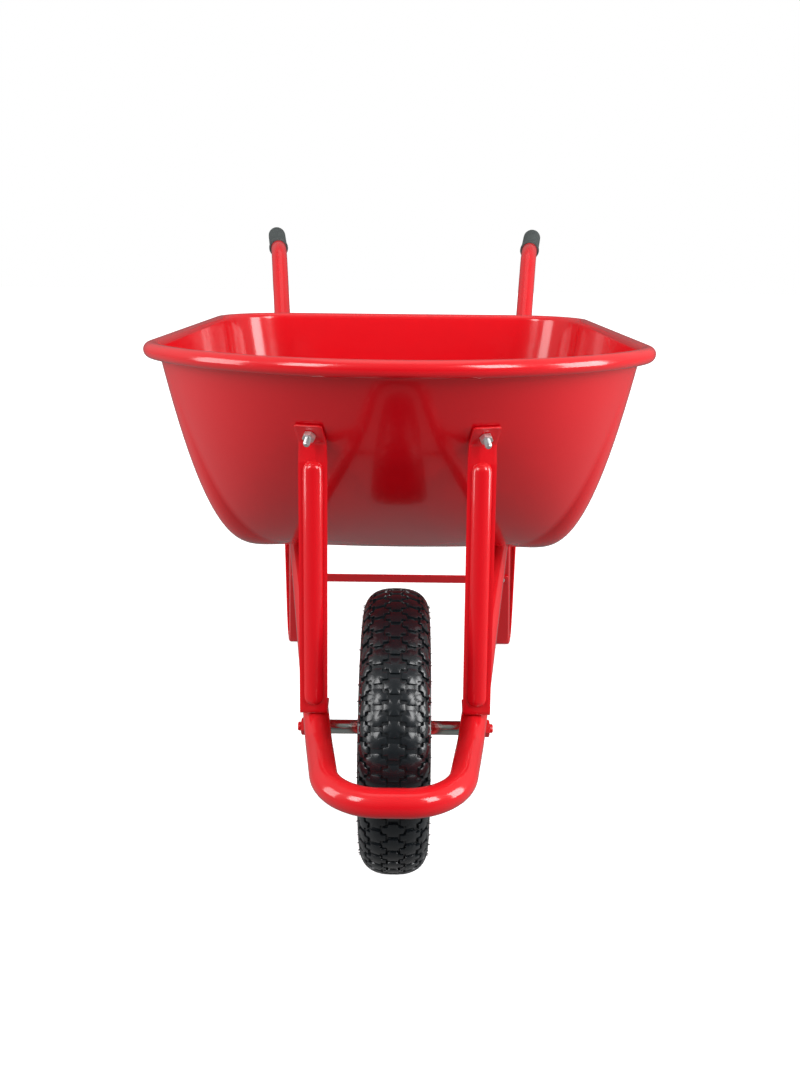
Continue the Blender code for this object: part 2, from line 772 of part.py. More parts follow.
def make_tyre():
    bead = math.radians(TYRE_BEAD_ANGLE)
    sweep = math.pi - 2 * bead
    outer = tyre_curve(TYRE_HALF_WIDTH, TYRE_HALF_HEIGHT,
                       [bead + sweep * i / 12 for i in range(13)])
    inner = tyre_curve(TYRE_HALF_WIDTH - TYRE_SIDE_WALL, TYRE_HALF_HEIGHT - TYRE_CROWN_WALL,
                       [bead + sweep * i / 8 for i in range(9)])
    turned("tyre", outer + inner[::-1], RUBBER, along_axle(0.0), 40)


def make_inner_tube():
    """The air tube, hollow, with the hole that its valve stem stands in."""
    bpy.ops.mesh.primitive_torus_add(major_segments=24, minor_segments=8,
                                     major_radius=0.1405, minor_radius=0.0255)
    tube = bpy.context.object
    mesh = tube.data
    bpy.data.objects.remove(tube)
    piece = add_piece("inner_tube", mesh, RUBBER, along_axle(0.0))
    mesh.name = "inner_tube"
    smooth(mesh)
    solidify(piece, 0.002, -1.0)
    cut_with(piece, VALVE_HOLES)


def wheel_rim_profile(sign):
    """Section of one pressed half of the rim, as (radius, height): hub collar, dish, bead seat
    and flange."""
    line = [(HUB_RADIUS + GAP, 0.0015), (0.030, 0.0015), (0.060, 0.0030), (0.086, 0.0020),
            (0.0925, 0.0045), (BEAD_SEAT_RADIUS - 0.002, 0.0150), (BEAD_SEAT_RADIUS, 0.0295),
            (RIM_FLANGE_RADIUS - 0.004, 0.0315), (RIM_FLANGE_RADIUS, 0.0350)]
    return [(radius, sign * x) for radius, x in line]


def make_wheel_rim(side_name, side):
    """One half of the rim, turned as an open sheet that is then given its gauge."""
    mesh = bpy.data.meshes.new("wheel_rim_" + side_name)
    line = wheel_rim_profile(side)
    points = [(radius, 0.0, x) for radius, x in line]
    mesh.from_pydata(points, [(i, i + 1) for i in range(len(points) - 1)], [])
    rim = add_piece("wheel_rim_" + side_name, mesh, RED, along_axle(0.0))
    screw = rim.modifiers.new("turn", "SCREW")
    screw.steps = 24
    screw.render_steps = 24
    screw.use_merge_vertices = True
    screw.merge_threshold = 0.0001
    solidify(rim, 0.0018)
    if side > 0:
        cut_with(rim, VALVE_HOLES)


def make_hub():
    sleeve = ring_profile(BEARING_RADIUS + GAP, HUB_RADIUS, HUB_HALF_LENGTH)
    turned("hub", sleeve, RED, along_axle(0.0), 16)
    for side_name, side in SIDES:
        ring = ring_profile(AXLE_RADIUS + GAP, BEARING_RADIUS, BEARING_WIDTH / 2, 0.0008)
        x = side * (HUB_HALF_LENGTH - BEARING_WIDTH / 2 - 0.001)
        turned("bearing_" + side_name, ring, STEEL, along_axle(x), 14)


def make_valve():
    """The valve stem through the left half of the rim, and its cap."""
    up = (0, 0, 1)
    root = Vector((VALVE_X, AXLE_Y, WHEEL_RADIUS + 0.1205))
    hole = rod_mesh("valve_hole", 0.0045, 0.034, 12)
    add_cutter("valve_hole", hole, facing(root - Vector((0, 0, 0.012)), up), VALVE_HOLES)
    profile = [(0.0, 0.001), (0.0042, 0.001), (0.0042, -0.026), (0.0032, -0.028),
               (0.0032, -0.040), (0.0, -0.040)]
    turned("valve_stem", profile, RUBBER, facing(root, up), 12)
    cap = [(0.0, -0.0405), (0.0038, -0.0405), (0.0038, -0.050), (0.0028, -0.052), (0.0, -0.052)]
    turned("valve_cap", cap, PLASTIC, facing(root, up), 12)


# Grips.


def make_grip(side_name, side):
    """A sleeve grip with a collar at its mouth and a closed round end."""
    profile = rail_profile()
    end = rail_point(*profile[-1], side)
    before = rail_point(*profile[-2], side)
    axis = (end - before).normalized()
    bore = TUBE_RADIUS + GAP
    round_end = 0.0035
    cap = 0.003
    section = [(0.0, cap), (GRIP_RADIUS - round_end, cap), (GRIP_RADIUS - 0.001, cap - 0.001),
               (GRIP_RADIUS, cap - round_end)]
    section += [(GRIP_RADIUS, 0.006 - GRIP_LENGTH), (GRIP_RING_RADIUS, 0.0045 - GRIP_LENGTH),
                (GRIP_RING_RADIUS, 0.001 - GRIP_LENGTH), (GRIP_RING_RADIUS - 0.001, -GRIP_LENGTH),
                (bore, -GRIP_LENGTH), (bore, GAP), (0.0, GAP)]
    turned("grip_" + side_name, section, GRIP, facing(end, axis), 16)


clear_scene()
BARROW = new_collection("wheelbarrow")
BOLT_HOLES = new_collection("bolt_holes")
NUT_BORES = new_collection("nut_bores")
AXLE_HOLES = new_collection("axle_holes")
SADDLES = new_collection("saddles")
VALVE_HOLES = new_collection("valve_holes")

RED = new_material("red_enamel", (0.62, 0.011, 0.018), 0.28, 0.0)
ZINC = new_material("zinc_plate", (0.62, 0.64, 0.66), 0.35, 1.0)
STEEL = new_material("bearing_steel", (0.55, 0.55, 0.55), 0.30, 1.0)
RUBBER = new_material("tyre_rubber", (0.020, 0.021, 0.023), 0.60, 0.0)
GRIP = new_material("grip_rubber", (0.060, 0.072, 0.075), 0.70, 0.0)
PLASTIC = new_material("valve_plastic", (0.015, 0.015, 0.016), 0.45, 0.0)

make_frame_tube()
make_tray()
BRACE_SEATS = {side: find_brace_seat(side) for _, side in SIDES}
make_crossbar()
make_bolt_sets()
make_axle()
make_tyre()
make_inner_tube()
make_hub()
make_valve()
for SIDE_NAME, SIDE in SIDES:
    make_brace(SIDE_NAME, SIDE)
    make_leg(SIDE_NAME, SIDE)
    make_axle_bracket(SIDE_NAME, SIDE)
    make_wheel_rim(SIDE_NAME, SIDE)
    make_grip(SIDE_NAME, SIDE)
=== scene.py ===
"""Garden wheelbarrow: the finished pieces, laid over the packed frame.

Metres, +Z up, the nose along -Y. Distances named BEHIND are measured back from the axle.
"""

import bisect
import math
import random

import bmesh
import bpy
from mathutils import Matrix, Vector


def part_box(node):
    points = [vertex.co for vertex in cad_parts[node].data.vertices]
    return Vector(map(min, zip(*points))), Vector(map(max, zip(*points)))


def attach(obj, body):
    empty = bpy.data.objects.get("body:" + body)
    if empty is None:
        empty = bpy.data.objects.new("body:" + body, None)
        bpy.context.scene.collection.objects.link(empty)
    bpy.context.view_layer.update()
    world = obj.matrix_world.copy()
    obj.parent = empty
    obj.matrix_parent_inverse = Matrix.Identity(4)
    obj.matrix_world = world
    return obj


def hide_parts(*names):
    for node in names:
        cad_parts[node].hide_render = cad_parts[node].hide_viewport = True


bl_info = {
    "name": "Garden Wheelbarrow",
    "version": (1, 0, 0),
    "blender": (4, 5, 0),
    "location": "3D View > Sidebar > Barrow",
    "description": "Builds the finished pieces of a steel garden wheelbarrow",
    "category": "Object",
}

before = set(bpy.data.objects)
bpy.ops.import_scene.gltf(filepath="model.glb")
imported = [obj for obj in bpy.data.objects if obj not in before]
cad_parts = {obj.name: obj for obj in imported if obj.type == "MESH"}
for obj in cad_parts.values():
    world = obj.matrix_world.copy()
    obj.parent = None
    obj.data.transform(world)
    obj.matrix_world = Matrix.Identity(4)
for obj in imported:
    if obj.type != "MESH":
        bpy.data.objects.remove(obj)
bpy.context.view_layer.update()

# Places that the frame gives.
TYRE_LOW, TYRE_HIGH = (Vector(corner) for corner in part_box("tyre"))
AXLE = (TYRE_LOW + TYRE_HIGH) / 2
WHEEL_RADIUS = (TYRE_HIGH.z - TYRE_LOW.z) / 2
TYRE_HALF_WIDTH = 0.042
SIDES = (("left", 1), ("right", -1))
LEVEL = Vector((1.0, 0.0, 0.0))
UP = Vector((0.0, 0.0, 1.0))
GAP = 0.0003

# Frame tube, in side view.
TUBE_RADIUS = 0.016
BOW_BEHIND = -0.214
KNEE_BEHIND = -0.085
KNEE_Z = 0.203
RAIL_SLOPE = 0.33
RAIL_X_AT_KNEE = 0.0902
RAIL_SPREAD = 0.158
FLOOR_Z = 0.351
REAR_KNEE_BEHIND = 0.660
UPPER_BEND_BEHIND = 1.000
UPPER_BEND_Z = 0.747
HANDLE_END_BEHIND = 1.141
HANDLE_SLOPE = math.tan(math.radians(13.9))
BOW_CORNER_RADIUS = 0.066
RAIL_BEND_RADII = (0.06, 0.20, 0.10, 0.085)

# Tray.
SHEET = 0.0010
ROLL_RADIUS = 0.009
NOSE_STRAIGHTNESS = 0.65
RIM_Z_FRONT = 0.649
RIM_Z_REAR = 0.636
RIM_FRONT_BEHIND = -0.114
RIM_REAR_BEHIND = 0.689
# Front, rear, half width, side spread, then the radii of the nose, side and rear corner.
FLOOR_OUTLINE = (0.219, 0.610, 0.180, 0.070, 1.2, 0.045, 0.100)
RIM_OUTLINE = (RIM_FRONT_BEHIND, RIM_REAR_BEHIND, 0.2935, 0.024, 0.330, 0.10, 0.100)

# Braces and legs.
BRACE_X = 0.0975
BRACE_SHEET = 0.0025
RIB_HALF_WIDTH = 0.0104
RIB_LOW_Z = 0.243
RIB_TOP_Z = 0.533
BRACE_BOLT_Z = 0.568
BRACE_FOOT_BEHIND = (-0.033, -0.060)
TAB_STAND_OFF = 0.0013
TAB_REACH = (-0.014, 0.0135)
LEG_SHEET = 0.0025
LEG_INSET = 0.009
LEG_FRONT_BOLT_BEHIND = 0.478
LEG_REAR_BOLT_BEHIND = 0.790
LEG_SOLE_BEHIND = (0.680, 0.716)
FLOOR_BOLT_BEHIND = 0.375
CROSSBAR_Z = 0.177
CROSSBAR_SHEET = 0.003
NUT_HEIGHT = 0.0065

# Wheel.
HUB_HALF_LENGTH = 0.040
BRACKET_X = 0.1055
BRACKET_THICKNESS = 0.004
VALVE_X = 0.014
AXLE_END = 0.1245
AXLE_THREAD = 0.016
TYRE_HALF_HEIGHT = 0.038
TYRE_SQUARENESS = 2.6


# What a user would change.


def length(name, description, default, low, high):
    return bpy.props.FloatProperty(name=name, description=description, default=default, min=low,
                                   max=high, unit="LENGTH")


def tint(name, description, default):
    return bpy.props.FloatVectorProperty(name=name, description=description, default=default,
                                         subtype="COLOR", size=3, min=0.0, max=1.0)


class BarrowSizes(bpy.types.PropertyGroup):
    tube_radius: length("Tube Radius", "Outer radius of the frame tube", TUBE_RADIUS, 0.01, 0.02)
    brace_width: length("Brace Width", "Width of the strap of a front brace", 0.033, 0.02, 0.035)
    brace_rib: length("Brace Rib", "How far the pressed rib stands out of the brace",
                      0.0075, 0.002, 0.009)
    leg_width: length("Leg Width", "Width of the strap that a leg is bent from",
                      0.036, 0.025, 0.038)
    leg_flange: length("Leg Flange", "Height of the turned edges of a leg", 0.009, 0.0, 0.01)
    tread_depth: length("Tread Depth", "Depth of the grooves between the tread blocks",
                        0.0030, 0.001, 0.005)
    tread_rows: bpy.props.IntProperty(
        name="Tread Rows", description="Rows of tread blocks around the tyre",
        default=46, min=24, max=80)


class BarrowFinishes(bpy.types.PropertyGroup):
    enamel: tint("Enamel", "Colour of the baked enamel", (0.76, 0.003, 0.010))
    enamel_gloss: bpy.props.FloatProperty(
        name="Enamel Roughness", description="Roughness of the enamel", subtype="FACTOR",
        min=0.05, max=0.8, default=0.10)
    rubber: tint("Tyre Rubber", "Colour of the tyre", (0.004, 0.006, 0.0075))
    grip: tint("Grip Rubber", "Colour of the handle grips", (0.052, 0.064, 0.064))


class BarrowStudio(bpy.types.PropertyGroup):
    camera_place: bpy.props.FloatVectorProperty(
        name="Camera Place", description="Where the camera stands", size=3,
        subtype="TRANSLATION", unit="LENGTH", default=(0.0099, -1.572, 0.775))
    camera_turn: bpy.props.FloatVectorProperty(
        name="Camera Turn", description="Tilt, roll and heading of the camera", size=3,
        subtype="EULER", default=(math.radians(73.12), math.radians(0.57), math.radians(0.33)))
    lens: bpy.props.FloatProperty(
        name="Lens", description="Focal length of the camera in millimetres",
        min=20.0, max=120.0, default=32.64)
    key_power: bpy.props.FloatProperty(
        name="Key Power", description="Power that the soft lights share, in watts",
        min=0.0, max=500.0, default=90.0)
    sky_strength: bpy.props.FloatProperty(
        name="Sky Strength", description="Brightness of the white surroundings",
        min=0.0, max=5.0, default=1.0)


# Shader maths.


class Shade:
    """A socket's value. Arithmetic on it adds Math nodes."""

    def __init__(self, finish, socket):
        self.finish = finish
        self.socket = socket

    def _math(self, operation, first, second, clamp=False):
        settings = {"operation": operation, "use_clamp": clamp}
        return self.finish.add("ShaderNodeMath", settings, {0: first, 1: second})

    def __add__(self, other):
        return self._math("ADD", self, other)

    __radd__ = __add__

    def __sub__(self, other):
        return self._math("SUBTRACT", self, other)

    def __rsub__(self, other):
        return self._math("SUBTRACT", other, self)

    def __mul__(self, other):
        return self._math("MULTIPLY", self, other)

    __rmul__ = __mul__

    def __truediv__(self, other):
        return self._math("DIVIDE", self, other)

    def __pow__(self, other):
        return self._math("POWER", self, other)

    def clamped(self):
        return self._math("ADD", self, 0.0, clamp=True)

    def above(self, edge, softness):
        """0 below the edge and 1 above it, over the given softness."""
        return ((self - edge) / softness).clamped()


class NodeMaker:
    """Adds nodes to one node tree."""

    def __init__(self, tree):
        self.tree = tree

    def plug(self, socket, value):
        if isinstance(value, Shade):
            self.tree.links.new(value.socket, socket)
        elif isinstance(value, (tuple, list, Vector)) and socket.type == "RGBA":
            socket.default_value = (*value[:3], 1.0)
        else:
            socket.default_value = value

    def add(self, kind, settings=None, inputs=None, output=0):
        node = self.tree.nodes.new(kind)
        for name, value in (settings or {}).items():
            setattr(node, name, value)
        for name, value in (inputs or {}).items():
            self.plug(node.inputs[name], value)
        return Shade(self, node.outputs[output])


class Finish(NodeMaker):
    """A node material with one Principled shader."""

    def __init__(self, name):
        self.material = bpy.data.materials.new(name)
        self.material.use_nodes = True
        super().__init__(self.material.node_tree)
        self.shader = self.tree.nodes["Principled BSDF"]
        self.place = self.add("ShaderNodeTexCoord", output="Object")

    def noise(self, scale, detail=2.0, roughness=0.5, stretch=(1.0, 1.0, 1.0)):
        """Noise from 0 to 1. The scale is in waves per metre."""
        where = self.add("ShaderNodeVectorMath", {"operation": "MULTIPLY"},
                         {0: self.place, 1: stretch})
        return self.add("ShaderNodeTexNoise", {"noise_dimensions": "3D"},
                        {"Vector": where, "Scale": scale, "Detail": detail,
                         "Roughness": roughness})

    def mix(self, factor, one, other):
        return self.add("ShaderNodeMix", {"data_type": "RGBA"},
                        {0: factor, 6: one, 7: other}, output=2)

    def facing_up(self):
        """1 where the surface faces the sky, 0 where it is upright or faces down."""
        normal = self.add("ShaderNodeNewGeometry", output="Normal")
        return self.add("ShaderNodeSeparateXYZ", None, {0: normal}, output="Z").clamped()

    def part(self, axis):
        """The place along X, Y or Z, in metres."""
        return self.add("ShaderNodeSeparateXYZ", None, {0: self.place}, output=axis)

    def edge(self):
        """How sharply the surface turns outward: 0.5 on a flat, more along an edge."""
        return self.add("ShaderNodeNewGeometry", output="Pointiness")

    def bump(self, height, distance, strength=1.0, under=None):
        inputs = {"Height": height, "Distance": distance, "Strength": strength}
        if under:
            inputs["Normal"] = under
        return self.add("ShaderNodeBump", None, inputs)

    def surface(self, **sockets):
        """Sets the shader's sockets, named with underscores for spaces."""
        for name, value in sockets.items():
            self.plug(self.shader.inputs[name.replace("_", " ")], value)
        return self.material


def deeper(color, share):
    return tuple(channel * share for channel in color)


def make_enamel(name, finishes, rough=0.0, peel=1.0, chips=0.35):
    """Glossy baked enamel: orange peel, cloudy gloss, dust on top and a few chips on edges."""
    finish = Finish(name)
    color = tuple(finishes.enamel)
    cloud = finish.noise(9.0, 3.0)
    grain = finish.noise(420.0, 2.0)
    smear = finish.noise(60.0, 4.0, 0.6, (1.0, 1.0, 0.25))
    base = finish.mix((cloud * 0.7 + grain * 0.15).clamped(), deeper(color, 0.88), color)
    speck = finish.noise(190.0, 3.0, 0.6).above(0.60, 0.03)
    worn = (finish.edge().above(0.53, 0.04) * speck * chips).clamped()
    primer = (0.16, 0.035, 0.030)
    base = finish.mix(worn, base, primer)
    dust = (finish.facing_up() * finish.noise(26.0, 4.0, 0.6) * 0.05).clamped()
    base = finish.mix(dust, base, (0.55, 0.42, 0.38))
    gloss = finishes.enamel_gloss + rough + smear * 0.08 + dust * 1.5 + worn * 0.3
    height = grain * 0.4 + finish.noise(150.0, 1.0)
    pressed = finish.noise(13.0, 1.0)
    low = finish.bump(pressed, 0.0006 * peel, 0.5)
    normal = finish.bump(height, 0.00012 * peel, 0.35, low)
    return finish.surface(Base_Color=base, Roughness=gloss, Normal=normal, Coat_Weight=0.3,
                          Coat_Roughness=0.05, Specular_IOR_Level=0.5)


def make_zinc(name, color, rough, streak=(1.0, 1.0, 1.0)):
    """Bright zinc plate with a faint warm passivation bloom and fine drawing marks."""
    finish = Finish(name)
    bloom = finish.noise(75.0, 3.0)
    marks = finish.noise(600.0, 3.0, 0.6, streak)
    warm = (color[0] * 1.02, color[1] * 0.94, color[2] * 0.80)
    base = finish.mix(bloom.above(0.45, 0.3) * 0.5, color, warm)
    grime = finish.noise(220.0, 4.0, 0.65).above(0.62, 0.12) * 0.35
    base = finish.mix(grime, base, (0.10, 0.09, 0.08))
    normal = finish.bump(marks, 0.00006, 0.5)
    return finish.surface(Base_Color=base, Roughness=rough + marks * 0.15 + grime * 0.3,
                          Metallic=1.0 - grime, Normal=normal)


def make_tyre_rubber(name, finishes):
    """Black tyre rubber: a bluish bloom, fine grain, and dust in random patches."""
    finish = Finish(name)
    color = tuple(finishes.rubber)
    bloom = finish.noise(35.0, 4.0, 0.6)
    grain = finish.noise(900.0, 3.0, 0.6)
    lines = finish.noise(260.0, 2.0)
    base = finish.mix(bloom, color, (0.010, 0.013, 0.016))
    dusty = finish.noise(80.0, 5.0, 0.7).above(0.58, 0.25) * 0.10
    base = finish.mix(dusty, base, (0.040, 0.038, 0.036))
    normal = finish.bump(grain * 0.5 + lines, 0.00008, 0.2)
    return finish.surface(Base_Color=base, Roughness=0.21 + grain * 0.08 + dusty * 0.4,
                          Normal=normal, Coat_Weight=0.12, Coat_Roughness=0.25)


def make_grip_rubber(name, finishes):
    """Soft grey-black grip rubber with a matt grain and a rubbed sheen."""
    finish = Finish(name)
    color = tuple(finishes.grip)
    cloud = finish.noise(45.0, 3.0)
    grain = finish.noise(1100.0, 2.0)
    rubbed = (color[0] * 1.5, color[1] * 1.45, color[2] * 1.4)
    base = finish.mix(cloud, deeper(color, 0.75), rubbed)
    normal = finish.bump(grain, 0.0002, 0.5)
    return finish.surface(Base_Color=base, Roughness=0.45 + grain * 0.15, Normal=normal)


def make_moulded(name, grain_size, dark, light, rough, relief):
    """Plain moulded rubber or plastic with a fine grain."""
    finish = Finish(name)
    grain = finish.noise(*grain_size)
    return finish.surface(Base_Color=finish.mix(grain, dark, light),
                          Roughness=rough[0] + grain * rough[1],
                          Normal=finish.bump(grain, *relief))


FINISHES = {}


def finish_for(slot):
    """The material of one of the record's slots, made the first time it is asked for."""
    if slot in FINISHES:
        return FINISHES[slot]
    finishes = bpy.context.scene.barrow_finishes
    makers = {
        "frame_paint": lambda: make_enamel("frame_enamel", finishes),
        "tray_paint": lambda: make_enamel("tray_enamel", finishes, 0.02, 1.3),
        "strut_paint": lambda: make_enamel("strut_enamel", finishes, 0.03),
        "rim_paint": lambda: make_enamel("rim_enamel", finishes, 0.03),
        "axle_paint": lambda: make_enamel("axle_enamel", finishes, 0.06, chips=0.8),
        "grip_rubber": lambda: make_grip_rubber("grip_rubber", finishes),
        "tyre": lambda: make_tyre_rubber("tyre_rubber", finishes),
        "tube_rubber": lambda: make_moulded(
            "tube_rubber", (500.0, 3.0), (0.012, 0.012, 0.013), (0.035, 0.034, 0.034),
            (0.6, 0.2), (0.0002, 0.4)),
        "cap_plastic": lambda: make_moulded(
            "cap_plastic", (900.0, 2.0), (0.010, 0.010, 0.011), (0.022, 0.022, 0.023),
            (0.35, 0.15), (0.0001, 0.3)),
        "spacer_zinc": lambda: make_zinc("spacer_zinc", (0.56, 0.60, 0.57), 0.10,
                                         (0.05, 1.0, 1.0)),
        "bearing_steel": lambda: make_zinc("bearing_steel", (0.60, 0.60, 0.61), 0.22),
        "zinc": lambda: make_zinc("bolt_zinc", (0.76, 0.77, 0.78), 0.26),
    }
    FINISHES[slot] = makers[slot]()
    return FINISHES[slot]


# Mesh helpers.


def behind(distance):
    return AXLE.y + distance


def rail_x(distance):
    return RAIL_X_AT_KNEE + RAIL_SPREAD * (distance - KNEE_BEHIND)


def facing(origin, axis):
    """A place whose local Z points along the axis."""
    turn = Vector(axis).to_track_quat("Z", "Y").to_matrix().to_4x4()
    return Matrix.Translation(origin) @ turn


def add_piece(name, fill, body, slot, nodes, sharp=35.0):
    """A piece from a function that fills a bmesh. It rides on the body and stands for its
    nodes."""
    bm = bmesh.new()
    fill(bm)
    bmesh.ops.recalc_face_normals(bm, faces=bm.faces)
    mesh = bpy.data.meshes.new(name)
    bm.to_mesh(mesh)
    bm.free()
    mesh.shade_smooth()
    mesh.set_sharp_from_angle(angle=math.radians(sharp))
    mesh.materials.append(finish_for(slot))
    piece = bpy.data.objects.new(name, mesh)
    bpy.context.scene.collection.objects.link(piece)
    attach(piece, body)
    if nodes:
        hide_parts(*nodes)
    return piece


def polar(radius, turn, height):
    return Vector((math.cos(turn) * radius, math.sin(turn) * radius, height))


def stitch(bm, rows, closed_rows=False, closed_rings=True, capped=False):
    """Quads between rows of places. Rings close on themselves; rows may close end to end."""
    made = [[bm.verts.new(place) for place in row] for row in rows]
    pairs = list(zip(made, made[1:]))
    if closed_rows:
        pairs.append((made[-1], made[0]))
    for one, other in pairs:
        count = len(one)
        for i in range(count if closed_rings else count - 1):
            j = (i + 1) % count
            bm.faces.new((one[i], one[j], other[j], other[i]))
    if capped:
        bm.faces.new(made[0])
        bm.faces.new(made[-1])
    return made


def lathe(bm, profile, place, steps):
    """A turned solid. The profile is (radius, height) pairs; ends on the axis are closed with a
    fan, and a profile that leaves the axis is closed on itself."""
    solid = profile[0][0] == 0.0
    rings = []
    for radius, height in profile:
        if radius == 0.0:
            rings.append([bm.verts.new(place @ Vector((0.0, 0.0, height)))])
            continue
        rings.append([bm.verts.new(place @ polar(radius, 2 * math.pi * step / steps, height))
                      for step in range(steps)])
    pairs = list(zip(rings, rings[1:]))
    if not solid:
        pairs.append((rings[-1], rings[0]))
    for one, other in pairs:
        for i in range(steps):
            j = (i + 1) % steps
            if len(one) == 1 and len(other) > 1:
                bm.faces.new((one[0], other[i], other[j]))
            elif len(other) == 1 and len(one) > 1:
                bm.faces.new((one[i], one[j], other[0]))
            elif len(one) > 1:
                bm.faces.new((one[i], one[j], other[j], other[i]))


def add_turned(name, profile, place, steps, body, slot, node):
    return add_piece(name, lambda bm: lathe(bm, profile, place, steps), body, slot, [node])


def recolour(name, slot):
    """Gives a CAD node, shown as it is, the material of a slot."""
    materials = bpy.data.objects[name].data.materials
    materials.clear()
    materials.append(finish_for(slot))


def rounded(corners, radii, segments):
    """A path through corners, with an arc of the given radius at each inner corner."""
    path = [Vector(corners[0])]
    for i in range(1, len(corners) - 1):
        corner = Vector(corners[i])
        to_last = (Vector(corners[i - 1]) - corner).normalized()
        to_next = (Vector(corners[i + 1]) - corner).normalized()
        half = to_last.angle(to_next) / 2
        reach = radii[i - 1] / math.tan(half)
        middle = corner + (to_last + to_next).normalized() * radii[i - 1] / math.sin(half)
        start = corner + to_last * reach - middle
        end = corner + to_next * reach - middle
        turn = start.angle(end)
        for step in range(segments[i - 1] + 1):
            share = step / segments[i - 1]
            arm = start * math.sin((1 - share) * turn) + end * math.sin(share * turn)
            path.append(middle + arm / math.sin(turn))
    path.append(Vector(corners[-1]))
    return path


def soft_profile(corners, radius, segments=4):
    """A profile with each inner corner rounded, as (radius, height) pairs."""
    flat = [Vector((r, h, 0.0)) for r, h in corners]
    bends = []
    for i in range(1, len(flat) - 1):
        room = min((flat[i] - flat[i - 1]).length, (flat[i + 1] - flat[i]).length) * 0.45
        half = (flat[i - 1] - flat[i]).angle(flat[i + 1] - flat[i]) / 2
        bends.append(min(radius, room * math.tan(half)))
    path = rounded(flat, bends, [segments] * len(bends))
    return [(p.x, p.y) for p in path]


def sweep(bm, path, radius, sides):
    """A round tube along a path, with flat ends."""
    heading = (path[1] - path[0]).normalized()
    across = heading.orthogonal().normalized()
    rings = []
    for i, place in enumerate(path):
        run = (path[min(i + 1, len(path) - 1)] - path[max(i - 1, 0)]).normalized()
        across = (across - run * across.dot(run)).normalized()
        other = run.cross(across)
        rings.append([place + (across * math.cos(2 * math.pi * k / sides)
                               + other * math.sin(2 * math.pi * k / sides)) * radius
                      for k in range(sides)])
    stitch(bm, rings, capped=True)


def bevel(piece, width, segments=2, angle=40.0):
    soften = piece.modifiers.new("eased edges", "BEVEL")
    soften.width = width
    soften.segments = segments
    soften.limit_method = "ANGLE"
    soften.angle_limit = math.radians(angle)
    soften.harden_normals = False


# Frame tube.


def rail_profile():
    """Corners of one rail in side view, from the bow back to the handle's end."""
    low_z = FLOOR_Z - GAP - TUBE_RADIUS
    slope_end = KNEE_BEHIND + (low_z - KNEE_Z) / RAIL_SLOPE
    handle_z = UPPER_BEND_Z + (HANDLE_END_BEHIND - UPPER_BEND_BEHIND) * HANDLE_SLOPE
    return [(BOW_BEHIND, KNEE_Z), (KNEE_BEHIND, KNEE_Z), (slope_end, low_z),
            (REAR_KNEE_BEHIND, low_z), (UPPER_BEND_BEHIND, UPPER_BEND_Z),
            (HANDLE_END_BEHIND, handle_z)]


def rail_point(distance, z, side=1):
    return Vector((side * rail_x(distance), behind(distance), z))


def make_frame_tube(sizes):
    left = [rail_point(distance, z) for distance, z in rail_profile()]
    right = [Vector((-p.x, p.y, p.z)) for p in reversed(left)]
    bends = [BOW_CORNER_RADIUS, *RAIL_BEND_RADII]
    steps = [22, 8, 8, 16, 18]
    path = rounded(right + left, bends[::-1] + bends, steps[::-1] + steps)
    add_piece("frame_tube_bent", lambda bm: sweep(bm, path, sizes.tube_radius, 40), "barrow",
              "frame_paint", ["frame_tube"])


# Tray.


def half_outline(front, rear, half_width, spread, nose_radius, side_radius, rear_radius):
    """Half of a rounded plan outline, from the front middle to the rear middle, as (point,
    outward direction) pairs."""
    side_heading = math.pi / 2 - math.atan(spread)
    nose_turn = math.asin((half_width - side_radius) / (nose_radius - side_radius))
    point = Vector((0.0, front))
    rows = []

    def out(heading):
        return Vector((math.sin(heading), -math.cos(heading)))

    def arc(radius, start, end, steps):
        nonlocal point
        middle = point - out(start) * radius
        for step in range(steps + 1):
            heading = start + (end - start) * step / steps
            rows.append((middle + out(heading) * radius, out(heading)))
        point = middle + out(end) * radius

    arc(nose_radius, 0.0, nose_turn, 28)
    rows.pop()
    arc(side_radius, nose_turn, side_heading, 20)
    run = (rear - rear_radius - point.y) / math.sin(side_heading)
    along = Vector((math.cos(side_heading), math.sin(side_heading)))
    for step in range(1, 12):
        rows.append((point + along * run * step / 12, out(side_heading)))
    point = point + along * run
    arc(rear_radius, side_heading, math.pi, 18)
    end = rows[-1][0]
    for step in range(1, 9):
        rows.append((end.lerp(Vector((0.0, rear)), step / 8), out(math.pi)))
    return rows


def rim_z(distance):
    share = (distance - RIM_FRONT_BEHIND) / (RIM_REAR_BEHIND - RIM_FRONT_BEHIND)
    return RIM_Z_FRONT + (RIM_Z_REAR - RIM_Z_FRONT) * share


def wall_place(floor_point, rim_point, outward, rise):
    """A place on the wall. The nose is part straight slope and part cubic, the rest all cubic."""
    flat = floor_point.lerp(rim_point, rise)
    low = FLOOR_Z + SHEET / 2
    straight = NOSE_STRAIGHTNESS * max(-outward.y, 0.0) ** 2
    share = straight * rise + (1 - straight) * rise ** 3
    return Vector((flat.x, behind(flat.y), low + (rim_z(rim_point.y) - low) * share))


